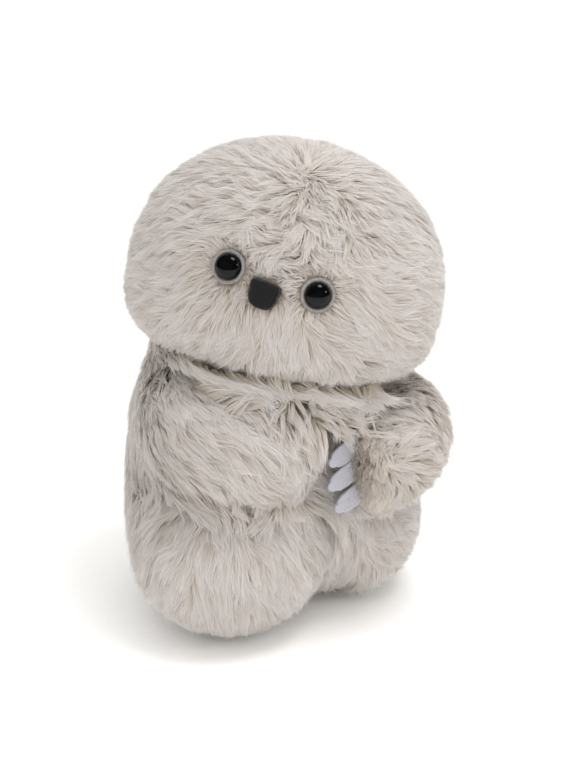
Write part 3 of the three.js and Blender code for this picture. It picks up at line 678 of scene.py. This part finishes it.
def scatter(shape, spacing, chance):  # places of even spacing: jittered rows from pole to pole
    fine = np.linspace(0, 1, 400)
    lengths = [np.linalg.norm(np.diff(formPoint(shape, fine, 0 * fine + turn), axis=0), axis=1)
               for turn in (0, math.pi / 2)]
    run = np.concatenate([[0], np.cumsum(sum(lengths) / 2)])
    rows = int(run[-1] / spacing)
    middle = np.interp((np.arange(rows) + 0.5) * run[-1] / rows, run, fine)
    loop = np.linspace(0, 2 * np.pi, 73)
    around = formPoint(shape, middle[:, None] + 0 * loop, 0 * middle[:, None] + loop)
    girth = np.linalg.norm(np.diff(around, axis=1), axis=2).sum(1)
    counts = np.maximum(np.round(girth / spacing), 3).astype(int)
    row = np.repeat(np.arange(rows), counts)
    index = np.arange(len(row)) - np.repeat(np.cumsum(counts) - counts, counts)
    turn = (index + chance.uniform(0, 1, len(row))) / counts[row] * 2 * np.pi
    ring = np.interp((row + chance.uniform(0, 1, len(row))) * run[-1] / rows, run, fine)
    return formPoint(shape, ring, turn), formNormal(shape, ring, turn)


# The way the tips point, how far they lie down, and the local shares: strokes weigh in by how near
# they are in the picture, over a rest of combing down the coat and along its limb. A stroke is laid
# on the form along the line of sight, so it keeps its way in the picture.
def combed(coat, skin, outward):
    shape, rest = forms[coat["form"]], pile["comb"]
    seen = smoothStep(-0.15, 0.35, outward @ viewBack)
    strokes = np.array([(*stroke, *coat["shares"])[:6] for stroke in coat["strokes"]], float)
    gaps = ((pictureOf(skin)[:, None] - strokes[None, :, :2]) ** 2).sum(-1)
    weight = np.exp(-gaps / (2 * coat["reach"] ** 2)) * seen[:, None]
    angles = np.radians(strokes[:, 2])
    ways = np.cos(angles)[:, None] * viewRight + np.sin(angles)[:, None] * viewUp
    total = weight.sum(1, keepdims=True) + rest
    drawn = weight @ ways / total
    drawn = drawn - viewBack * dot(drawn, outward) / np.maximum(dot(outward, viewBack), 0.3)
    along = unit(bentSpeed(shape["spine"], nearStation(shape, skin)))
    comb = unit(np.array(coat["comb"], float)) + coat.get("along", 0) * along
    raw = flatOn(drawn + rest * comb / total, outward)
    shares = (weight @ strokes[:, 3:] + rest * np.array(pile["combShares"])) / total
    lie = 0.4 + 0.6 * smoothStep(0.0, 0.7, np.linalg.norm(raw, axis=1))
    return unit(raw), lie, shares


def lineDistance(places, line):  # pixels from each picture place to a polyline
    line = np.array(line, float)
    a, b = line[:-1], line[1:]
    share = ((places[:, None] - a) * (b - a)).sum(-1) / ((b - a) ** 2).sum(-1)
    foot = a + (b - a) * np.clip(share, 0, 1)[..., None]
    return np.linalg.norm(places[:, None] - foot, axis=-1).min(1)


# How far each pair of coats runs together: the pile fills their crease as a smooth union of forms,
# a quarter of this width high where both are as near. Round the left hand's claws they stay apart.
clawMiddle = handFrame(hands["left"], 0)[0] + claw["middle"]
blends = {("arm_left", "body"): 36, ("arm_right", "body"): 26, ("arm_right", "head"): 14,
          ("body", "leg_left"): 18, ("body", "leg_right"): 18, ("body", "head"): 12,
          ("leg_left", "leg_right"): 10, ("arm_right", "leg_right"): 9, ("arm_left", "head"): 6,
          ("arm_left", "leg_left"): 8}
union = {"width": 4, "clawWidth": 2, "clawNear": 9, "clawFar": 27, "lumpBack": 12, "shallow": 0.35,
         "steps": (1, 1, 1, 0.7, 0.7, 0.7), "miss": 1.6, "travel": 32}


def otherForms(coat, points):  # each other form's name, with the distance outside it and the way out
    return [(name, *senseForm(shape, points)) for name, shape in forms.items() if name != coat["form"]]


def senseCoat(coat, points):  # distance outside the union of the forms, and the way out
    distance, way = senseForm(forms[coat["form"]], points)
    apart = smoothStep(union["clawNear"], union["clawFar"], np.linalg.norm(points - clawMiddle, axis=1))
    near = []
    for name, gap, away in otherForms(coat, points):
        width = blends.get(tuple(sorted((coat["form"], name))), union["width"])
        near.append((gap, away, union["clawWidth"] + (width - union["clawWidth"]) * apart))
    for centre, radius, width in coat.get("lumps", []):
        gap = np.linalg.norm(points - centre, axis=1) - radius + union["lumpBack"] * (1 - apart)
        near.append((gap, unit(points - centre), width))
    for gap, away, width in near:
        share = np.clip(0.5 + 0.5 * (gap - distance) / width, 0, 1)
        way = way * share[:, None] + away * (1 - share)[:, None]
        distance = distance * share + gap * (1 - share) - width * share * (1 - share)
    return distance / np.maximum(np.linalg.norm(way, axis=1), union["shallow"]), unit(way)


# Places on a form's skin, moved out to the union that its coat is grown on, with the way out there.
# Those that don't come to rest, or only after a long way round, are left out.
def ontoUnion(coat, skin):
    start = skin
    for step in union["steps"]:
        distance, way = senseCoat(coat, skin)
        skin = skin - way * (distance * step)[:, None]
    distance, way = senseCoat(coat, skin)
    reached = np.abs(distance) < union["miss"]
    return chosen(reached & (np.linalg.norm(skin - start, axis=1) < union["travel"]), skin, way)


# The lie of the pile at each place: combing, turned and varied by slow ripples and by chance, and
# dipped along a seam. With the way the tips point go how far they reach, how far behind its place
# each root lies, the height of the pile and its tousle.
def layPile(coat, skin, outward, seed, turnBy, lengthBy, riseBy):
    flow, lie, shares = combed(coat, skin, outward)
    lengthShare, liftShare, tousle = shares.T
    swirl = (wave("swirl", skin, seed) + wave("curl", skin, seed)) * tousle
    swirl = swirl + wave("whorl", skin, seed) * (1 - lie)
    flow = turned(flow, outward, swirl + turnBy * (0.5 + tousle))
    length = coat["length"] * lengthShare * (1 + wave("length", skin, seed) + lengthBy)
    lift = (wave("rise", skin, seed) + riseBy) * liftShare
    rise = coat["pileDepth"] + coat.get("over", pile["over"]) + lift
    for part in coat.get("parting", []):
        flow, length, rise = part(skin, outward, flow, length, rise)
    seen = smoothStep(0, 0.3, outward @ viewBack)
    for line in coat.get("seams", []):
        dip = np.exp(-(lineDistance(pictureOf(skin), line) / pile["seamWidth"]) ** 2)
        rise = rise * (1 - pile["seam"] * dip * seen)
    rise = np.clip(rise, pile["lowest"], coat["pileDepth"] + pile["fullest"])
    length = np.maximum(length, rise * 1.08)
    reach = np.sqrt(length ** 2 - rise ** 2)
    return flow, reach * lie, reach * pile["rootBack"], rise, tousle


# Cubic guides: up from the backing, over to the lie of the pile, and held at its height over the
# form, but for the share of a limb's fur that hangs free past its end. The last result says which
# came to rest within their pile's height of the union, or hang free where that is meant.
def guidesFor(coat, skin, outward, flow, reach, back, rise, bend):
    depth, hang = coat["pileDepth"], coat.get("hang", 0)
    root = skin - outward * depth - flow * back[:, None]
    side = np.cross(outward, flow)
    points = [root]
    for share, heightShare in pile["guide"]:
        point = root + flow * (reach * share)[:, None] + side * (reach * bend * share ** 2)[:, None]
        distance, way = senseCoat(coat, point)
        settle = rise * heightShare - depth - distance
        settle = np.where(settle < 0, settle * (1 - hang * share ** 2), settle)
        points.append(point + way * settle[:, None])
    above = [senseCoat(coat, point)[0] for point in points[2:]]
    return np.stack(points, 1), np.maximum(*above) < pile["tallest"] + pile["freeFall"] * hang


def notBuried(coat, skin, outward):  # roots over the floor and not deep inside another form
    keep = (skin - outward * coat["pileDepth"])[:, 2] > 1
    for name, gap, away in otherForms(coat, skin):
        keep &= gap > -pile["buried"] * coat["pileDepth"]
    return keep & coat["bare"](skin) if "bare" in coat else keep


# Strands of each layer of a coat: points along each, its facing, tone and share of its tuft's length.
# Locks are scattered first, then tufts, which take after the nearest lock, then strands round each.
def growCoat(coat, seed):
    chance = np.random.default_rng(seed)
    shape = forms[coat["form"]]
    skin, outward = ontoUnion(coat, scatter(shape, coat.get("lockSpacing", pile["lockSpacing"]), chance)[0])
    count, lockSpreads = len(skin), spreads["lock"].values()
    turn, length, rise, tone, bend = (chance.normal(0, spread, count) for spread in lockSpreads)
    lay = layPile(coat, skin, outward, seed, turn, length, rise)
    lockGuide, sound = guidesFor(coat, skin, outward, *lay[:4], bend)
    lockSkin, lockGuide, lockTurn, lockLength, lockRise, lockTone, lockBend = chosen(
        sound, skin, lockGuide, turn, length, rise, tone, bend)
    skin, outward = scatter(shape, pile["tuftSpacing"], chance)
    skin, outward = ontoUnion(coat, skin[notBuried(coat, skin, outward)])
    count = len(skin)
    lock = nearest(skin, lockSkin)
    own = spreads["tuft"]
    lay = layPile(coat, skin, outward, seed, lockTurn[lock] + chance.normal(0, own["turn"], count),
                  lockLength[lock] + chance.normal(0, own["length"], count),
                  lockRise[lock] * 0.8 + chance.normal(0, own["rise"], count))
    flow, tousle = lay[0], lay[4]
    bend = lockBend[lock] + chance.normal(0, own["bend"], count) + wave("bend", skin, seed) * tousle
    guide, sound = guidesFor(coat, skin, outward, *lay[:4], bend)
    guide, outward, flow, lock, tousle = chosen(sound, guide, outward, flow, lock, tousle)
    count = len(guide)

    def gathered(kind, tousle):
        least, more, spread, most = gathers[kind]
        return np.clip(least + more * tousle + chance.normal(0, spread, len(tousle)), 0, most)

    lean = gathered("lean", tousle)
    for k, share in ((1, 0.1), (2, 0.5), (3, 1.0)):
        guide[:, k] += (lockGuide[lock, k] - guide[:, k]) * (lean * share)[:, None]
    side, strand = np.cross(outward, flow), spreads["strand"]

    def strandsOf(kind, layer):
        many, steps = coat.get(kind + "Strands", layer["strands"]), layer["steps"]
        total = count * many
        tuft = np.repeat(np.arange(count), many)
        angle = chance.uniform(0, 2 * np.pi, total)
        spread = pile["tuftSpacing"] * 0.8 * np.sqrt(chance.uniform(0, 1, total))
        offset = flow[tuft] * (spread * np.cos(angle))[:, None] + side[tuft] * (spread * np.sin(angle))[:, None]
        draw = gathered("draw", tousle[tuft]) * layer["draw"]
        reachShare = np.clip(chance.normal(layer["reach"], strand["reach"], total), 0.3, 1.1)
        wander = chance.normal(0, layer["stray"], (total, 3))
        points = []
        for step in range(steps):
            t = reachShare * step / (steps - 1)
            line = sum(guide[tuft, k] * share[:, None] for k, share in enumerate(cubicShares(t)))
            points.append(line + offset * (1 - draw * t ** 1.3)[:, None] + wander * (t * t)[:, None])
        points = np.stack(points, 1)
        keep = points[:, -1, 2] > pile["floor"]
        if "shaved" in coat:
            keep &= coat["shaved"](points)
        tone = lockTone[lock][tuft] + chance.normal(0, own["tone"], count)[tuft]
        tone = tone + chance.normal(0, strand["tone"], total) + 0.5
        return chosen(keep, points, outward[tuft], np.clip(tone, 0.02, 0.98), reachShare)

    return {kind: strandsOf(kind, layer) for kind, layer in layers.items()}, chance


# Flat strands, widest at the middle and pointed at the tip. Their shading is softened by leaning
# each normal towards the form's own, as light spread through fine fibres does.
def furPiece(name, strands, widths, chance, material, body):
    points, facing, tone, reachShare = strands
    total, steps = points.shape[:2]
    run = unit(np.gradient(points, axis=1))
    flat = unit(np.cross(run, facing[:, None]))
    roll = np.clip(chance.normal(0, spreads["strand"]["roll"], total), -0.9, 0.9)
    flat = turned(flat, run, roll[:, None] + 0 * run[..., 0])
    width = chance.uniform(*widths, total)
    half = flat[:, :-1] * (width[:, None] * np.array([0.8, 1.0, 0.7])[:steps - 1] / 2)[..., None]
    own = 2 * steps - 1
    pairs = np.stack([points[:, :-1] - half, points[:, :-1] + half], 2).reshape(total, own - 1, 3)
    vertices = np.concatenate([pairs, points[:, -1:]], 1).reshape(-1, 3)
    normal = unit(np.cross(flat, run) * (1 - pile["softness"]) + facing[:, None] * pile["softness"])
    normals = np.concatenate([np.repeat(normal[:, :-1], 2, axis=1), normal[:, -1:]], 1).reshape(-1, 3)
    base = np.arange(total)[:, None] * own
    quads = [base + np.array([0, 1, 3, 2]) + 2 * k for k in range(steps - 2)]
    ends = base + np.array([own - 3, own - 2, own - 1])
    cell = np.floor(tone * pile["mapCells"])
    low, high, mid = ((cell + share) / pile["mapCells"] for share in (0.15, 0.85, 0.5))
    # Up the map each strand runs from root to tip only as far as its reach, so shorter strands such as the
    # underfur end in the ramp's darker root part: painted shade of the pile's depths as well as the fibre's own
    # tan
    v = 0.02 + 0.96 * np.arange(steps)[None] / (steps - 1) * np.minimum(reachShare, 1)[:, None]

    def corners(*places):
        return np.stack([np.stack([u, v[:, k]], -1) for u, k in places], 1)

    maps = [corners((low, k), (high, k), (high, k + 1), (low, k + 1)) for k in range(steps - 2)]
    maps.append(corners((low, steps - 2), (high, steps - 2), (mid, steps - 1)))
    return finished(makeMesh(name, vertices, [*quads, ends], maps, normals), material, body)


# Fur round the face: strands that would cross an eye or the beak are shaved off, and within these
# distances of each it is shorter, lower and combed away.
face = {"eye": (8, 9), "beak": (6, 7), "away": 1.4, "shorter": 0.6, "lower": 0.42, "eyeClear": 0.2,
        "beakClear": 0.1, "under": 7, "beakUnder": 6, "squareness": 2.4}


def clearOfFace(points):
    keep = np.ones(len(points), bool)
    clear = eye["radius"] + eye["gap"] + eye["rimWidth"] + face["eyeClear"]
    for here, right, up, outward in eyeFrames.values():
        local = points[:, 1:] - here
        away = np.hypot(local @ right, local @ up)
        keep &= ~((away < clear) & (local @ outward > -face["under"])).any(1)
    here, right, up, outward = beakFrame
    local = points[:, 1:] - here
    x, y = (local @ right) / (beak["wide"] + face["beakClear"]), local @ up
    y = y / (np.where(y > 0, beak["rise"], beak["drop"]) + face["beakClear"])
    within = np.abs(x) ** face["squareness"] + np.abs(y) ** face["squareness"] < 1
    return keep & ~(within & (local @ outward > -face["beakUnder"])).any(1)


def partAtFace(skin, outward, flow, length, rise):
    spots = [(place[0], *face["eye"]) for place in eyeFrames.values()] + [(beakFrame[0], *face["beak"])]
    for here, start, width in spots:
        away = skin - here
        near = 1 - smoothStep(start, start + width, np.linalg.norm(away, axis=1))
        outFlow = unit(flatOn(away, outward))
        flow = unit(flatOn(flow * (1 - near[:, None]) + outFlow * (near * face["away"])[:, None], outward))
        length = length * (1 - face["shorter"] * near)
        rise = rise * (1 - face["lower"] * near)
    return flow, length, rise


# The left hand ends in a strip of short sheared pile, marked off by a plane across its spine.
cuffWidth = 13
handEnd = forms["arm_left"]["spine"][2]
handWay = unit(handEnd - forms["arm_left"]["spine"][1])


def onCuff(skin):
    return (skin - handEnd) @ handWay > -cuffWidth


def offCuff(skin):
    return ~onCuff(skin)


# Balls that the coats are grown over: one behind the chest's skin fills it out, and three lie over
# the right hand's claws, so that they stay under the pile of hand and chest.
lump = {"ring": 0.74, "turn": math.pi / 2 + 0.2, "radius": 38, "height": 5, "width": 0.8,
        "claw": 0.3, "clawPitch": 12, "clawRadius": 6.5, "clawWidth": 14}


def chestLump():
    place = np.array([lump["ring"]]), np.array([lump["turn"]])
    skin, outward = formPoint(forms["body"], *place)[0], formNormal(forms["body"], *place)[0]
    centre = skin - outward * (lump["radius"] - lump["height"])
    return centre, lump["radius"], lump["radius"] * lump["width"]


def overClaw(hand, index):
    centre, basis = handFrame(hand, (index - 1) * lump["clawPitch"])
    centre = centre + basis[:, 0] * (claw["length"] - hand["rootInset"]) * lump["claw"]
    return centre, lump["clawRadius"], lump["clawWidth"]


rightLumps = [overClaw(hands["right"], index) for index in range(3)]
coats["head"].update(shaved=clearOfFace, parting=[partAtFace])
coats["body"].update(lumps=[chestLump(), *rightLumps])
coats["arm_right"].update(lumps=rightLumps)
coats["arm_left"].update(bare=offCuff)
coats["cuff_left"].update(bare=onCuff)


# Sewn cloth under the pile: the form drawn in by the pile's depth, closed by a point at each pole
backing = {"ends": 0.02, "rings": 56, "turns": 72, "under": 0.3, "floor": 1.2}


def backingPiece(name, body):
    rings = np.linspace(backing["ends"], 1 - backing["ends"], backing["rings"])
    points, outward = formGrid(forms[body], rings, backing["turns"])
    points = points - outward * (coats[body]["pileDepth"] - backing["under"])
    points[..., 2] = np.maximum(points[..., 2], backing["floor"])
    piece = ringForm(name, points, knitBacking, body, points[[0, -1]].mean(1))
    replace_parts(piece, body + "_skin")


def inPieces(strands, most):  # strands dealt into equal groups by their heading about the coat's middle
    points = strands[0]
    middle = points[:, 0].mean(0)
    heading = np.arctan2(points[:, 0, 1] - middle[1], points[:, 0, 0] - middle[0])
    order = np.argsort(heading, kind="stable")
    groups = np.array_split(order, max(1, math.ceil(len(order) / most)))
    return [tuple(values[group] for values in strands) for group in groups]


furTriangles = 0
for number, (name, coat) in enumerate(coats.items()):
    body = coat["form"]
    if name == body:
        backingPiece(body + "_cloth", body)
    grown, chance = growCoat(coat, 100 * (number + 1))
    fibre = cuffPile if name == "cuff_left" else furPile
    for kind, strands in grown.items():
        for part, group in enumerate(inPieces(strands, layers[kind]["most"])):
            furPiece(f"{name}_{kind}_{part + 1}", group, layers[kind]["width"], chance, fibre, body)
        furTriangles += len(strands[0]) * (2 * layers[kind]["steps"] - 3)
    print(name, "coat:", *(f"{len(strands[0])} strands of {kind}" for kind, strands in grown.items()))
print("fur triangles:", furTriangles)


def clawOutline(rootInset, hidden):  # anticlockwise: straight root, sides that taper to a round tip
    half, tip = claw["rootWidth"] / 2, claw["tipWidth"] / 2
    tipCentre, root = claw["length"] - rootInset - tip, hidden - rootInset
    t = np.linspace(0, 1, claw["steps"], endpoint=False)
    angle = (t - 0.5) * np.pi
    arc = np.stack([tipCentre + tip * np.cos(angle), tip * np.sin(angle)], -1)
    curves = [((root, -half), (root / 2, -half), (0, -half)),
              ((0, -half), (tipCentre, -half), (tipCentre, -tip)),
              ((tipCentre, tip), (tipCentre, half), (0, half)),
              ((0, half), (root / 2, half), (root, half)), ((root, half), (root, 0), (root, -half))]
    lines = [bent(np.array(curve, float), t) for curve in curves]
    return np.concatenate([*lines[:2], arc, *lines[2:]])


def clawPiece(side, index, hand):
    centre, basis = handFrame(hand, (index - 1) * hand["pitch"])
    outline = clawOutline(hand["rootInset"], hand["hidden"])
    edgeWay = unit(np.roll(outline, -1, 0) - np.roll(outline, 1, 0))
    inward = np.stack([-edgeWay[:, 1], edgeWay[:, 0]], -1)
    heart = outline.mean(0)
    half, edge = claw["thickness"] / 2, claw["edge"]
    rows = [(outline + inward * (edge * (1 - math.sin(angle))), half - edge * (1 - math.cos(angle)))
            for angle in np.linspace(0, np.pi / 2, 4)]
    inner = rows[0][0]
    top = [(heart + (inner - heart) * share, half) for share in (0.3, 0.6, 0.85)] + rows
    rows = top + [(flat, -height) for flat, height in reversed(top)]
    local = np.stack([np.concatenate([flat, np.full((len(flat), 1), height)], 1) for flat, height in rows])
    poles = np.array([[*heart, half], [*heart, -half]])
    rough = claw["rough"] * ripple(local.reshape(-1, 3), claw["roughLength"], 40 + index)
    local[..., 2] += rough.reshape(local.shape[:2]) * np.sign(local[..., 2])
    points = centre + local @ basis.T
    piece = ringForm(f"felt_claw_{side}_{index + 1}", points, clawFelt, hand["arm"],
                     centre + poles @ basis.T)
    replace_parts(piece, f"claw_{side}_{index + 1}")
    return points.reshape(-1, 3)


# Loose felt fibres: short hairs that stand off the claw's faces and edges every way
def clawFuzz(side, hand, surfaces):
    chance = np.random.default_rng(7)
    roots = np.concatenate([points[chance.integers(0, len(points), claw["fuzz"])] for points in surfaces])
    middles = np.repeat([points.mean(0) for points in surfaces], claw["fuzz"], 0)
    away = unit(unit(roots - middles) + chance.normal(0, 0.8, roots.shape))
    length = claw["fuzzLength"] * chance.uniform(0.5, 1.3, len(roots))[:, None]
    curl = chance.normal(0, 0.3, roots.shape)
    points = np.stack([roots, roots + (away * 0.5 + curl * 0.2) * length, roots + (away + curl) * length], 1)
    tone = chance.uniform(0.1, 0.9, len(roots))
    furPiece(f"felt_fuzz_{side}", (points, away, tone, np.ones(len(roots))), claw["fuzzWidth"], chance,
             feltFuzz, hand["arm"])


for side, hand in hands.items():
    clawFuzz(side, hand, [clawPiece(side, index, hand) for index in range(3)])
print("felt claws made")


# Wadding: the sewn model's own filling solid, merged, cut fine and drawn in by soft lumps
wadding = {"lump": 9.0, "lumpDepth": 0.35, "cuts": 2}


def waddingPiece(node, body):
    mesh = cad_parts[node].data.copy()
    solid = bmesh.new()
    solid.from_mesh(mesh)
    bmesh.ops.remove_doubles(solid, verts=solid.verts, dist=1e-6)
    bmesh.ops.subdivide_edges(solid, edges=solid.edges, cuts=wadding["cuts"], use_grid_fill=True)
    solid.to_mesh(mesh)
    solid.free()
    places, ways = (np.empty(len(mesh.vertices) * 3, np.float32) for kind in range(2))
    mesh.vertices.foreach_get("co", places)
    mesh.vertices.foreach_get("normal", ways)
    places, ways = places.reshape(-1, 3), ways.reshape(-1, 3)
    sink = wadding["lumpDepth"] * (1.2 - ripple(places / metre, wadding["lump"], 60).clip(-1.2, 1.2))
    places = places - ways * sink[:, None] * metre
    mesh.vertices.foreach_set("co", places.astype(np.float32).reshape(-1))
    mesh.materials.clear()
    piece = bpy.data.objects.new(body + "_wadding", mesh)
    bpy.context.scene.collection.objects.link(piece)
    mesh.polygons.foreach_set("use_smooth", np.full(len(mesh.polygons), True))
    finished(piece, fibrefill, body)
    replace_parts(piece, node)


for body in forms:
    waddingPiece(body + "_stuffing", body)

# Pellet bag: a calico pouch dimpled by the pellets inside, with a seam round its widest ring
pouch = {"base": (-8, 8), "floor": 10.5, "wide": 34, "deep": 28, "height": 34, "blunt": 2.4, "equator": 0.45,
         "dimple": 4, "dimpleDepth": 0.15, "seam": 0.5, "seamWidth": 0.012, "rings": 60, "turns": 96}


def pouchPiece():
    low = np.array([*pouch["base"], pouch["floor"]], float)
    high = low + upward * pouch["height"]
    shape = form(low, (low + high) / 2, high, pouch["wide"], pouch["deep"], pouch["equator"], pouch["blunt"],
                 pouch["blunt"], toyFront)
    rings = np.linspace(0.01, 0.99, pouch["rings"])
    points, outward = formGrid(shape, rings, pouch["turns"])
    dimple = ripple(points.reshape(-1, 3), pouch["dimple"], 71).reshape(points.shape[:2])
    seam = pouch["seam"] * np.exp(-((rings - 0.5) / pouch["seamWidth"]) ** 2)
    sink = pouch["dimpleDepth"] * (1.5 - dimple.clip(-1.5, 1.5)) + seam[:, None]
    points = points - outward * sink[..., None]
    piece = ringForm("pellet_pouch", points, calico, "body", points[[0, -1]].mean(1))
    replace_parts(piece, "pellet_bag")


pouchPiece()
print("wadding and pellet pouch made")

# Floor, light and camera: a pale paper sweep under a sky of soft light that is brightest overhead
stage = {"floor": 4000, "horizon": 1, "zenith": 1.35, "overhead": 5, "side": 0.8, "front": 7}
floorMaterial = grainMaterial("palePaperSweep", "f3f2f0", "f6f5f3", 2, 0.01, 0.9, 0.1)
corners = np.array([(-1, -1, 0), (1, -1, 0), (1, 1, 0), (-1, 1, 0)], float) * stage["floor"]
floor = makeMesh("paper_floor", corners - moved, [np.array([[0, 1, 2, 3]])])
floor.data.materials.append(floorMaterial)

world = bpy.data.worlds.new("softSky")
bpy.context.scene.world = world
world.use_nodes = True
sky = world.node_tree
place = addNode(sky, "ShaderNodeTexCoord")
parts = addNode(sky, "ShaderNodeSeparateXYZ", links={"Vector": place.outputs["Generated"]})
climb = addNode(sky, "ShaderNodeMapRange", {"To Min": stage["horizon"], "To Max": stage["zenith"]},
                {"Value": parts.outputs["Z"]})
sky.nodes["Background"].inputs[0].default_value = (1, 1, 1, 1)
sky.links.new(climb.outputs[0], sky.nodes["Background"].inputs[1])


def placed(thing, right, up, back, place):  # a lamp or a camera, set by its ways and added to the scene
    matrix = np.eye(4)
    matrix[:3, 0], matrix[:3, 1], matrix[:3, 2] = right, up, back
    matrix[:3, 3] = (place + moved) * metre
    holder = bpy.data.objects.new(thing.name, thing)
    holder.matrix_world = Matrix(matrix.tolist())
    bpy.context.scene.collection.objects.link(holder)
    return holder


def softBox(name, place, aim, size, watts, shines=True):
    lamp = bpy.data.lights.new(name, "AREA")
    lamp.shape = "DISK"
    lamp.size = size * metre
    lamp.energy = watts
    away = unit(np.array(place, float) - np.array(aim, float))
    sideways = unit(np.cross(upward, away))
    placed(lamp, sideways, np.cross(away, sideways), away, np.array(place, float)).visible_glossy = shines


softBox("overhead_softbox", (250, -250, 1200), (0, 0, 120), 500, stage["overhead"])
softBox("side_softbox", (620, -620, 520), (0, 0, 150), 110, stage["side"])
softBox("front_softbox", (-700, -1500, 170), (0, 0, 110), 900, stage["front"], False)
world.cycles_visibility.glossy = False

lens = bpy.data.cameras.new("photoCamera")
lens.sensor_fit = "VERTICAL"
lens.sensor_height = camera["sensor"]
lens.lens = camera["sensor"] * camera["distance"] / (camera["height"] * camera["scale"])
lens.clip_start, lens.clip_end = 0.05, 30
target = viewRight * axisRight + viewUp * axisUp
bpy.context.scene.camera = placed(lens, viewRight, viewUp, viewBack, target + viewBack * camera["distance"])
bpy.context.scene.view_settings.view_transform = "Standard"
bpy.context.scene.cycles.use_denoising = True
bpy.context.scene.cycles.diffuse_bounces = 8
print("stage set")
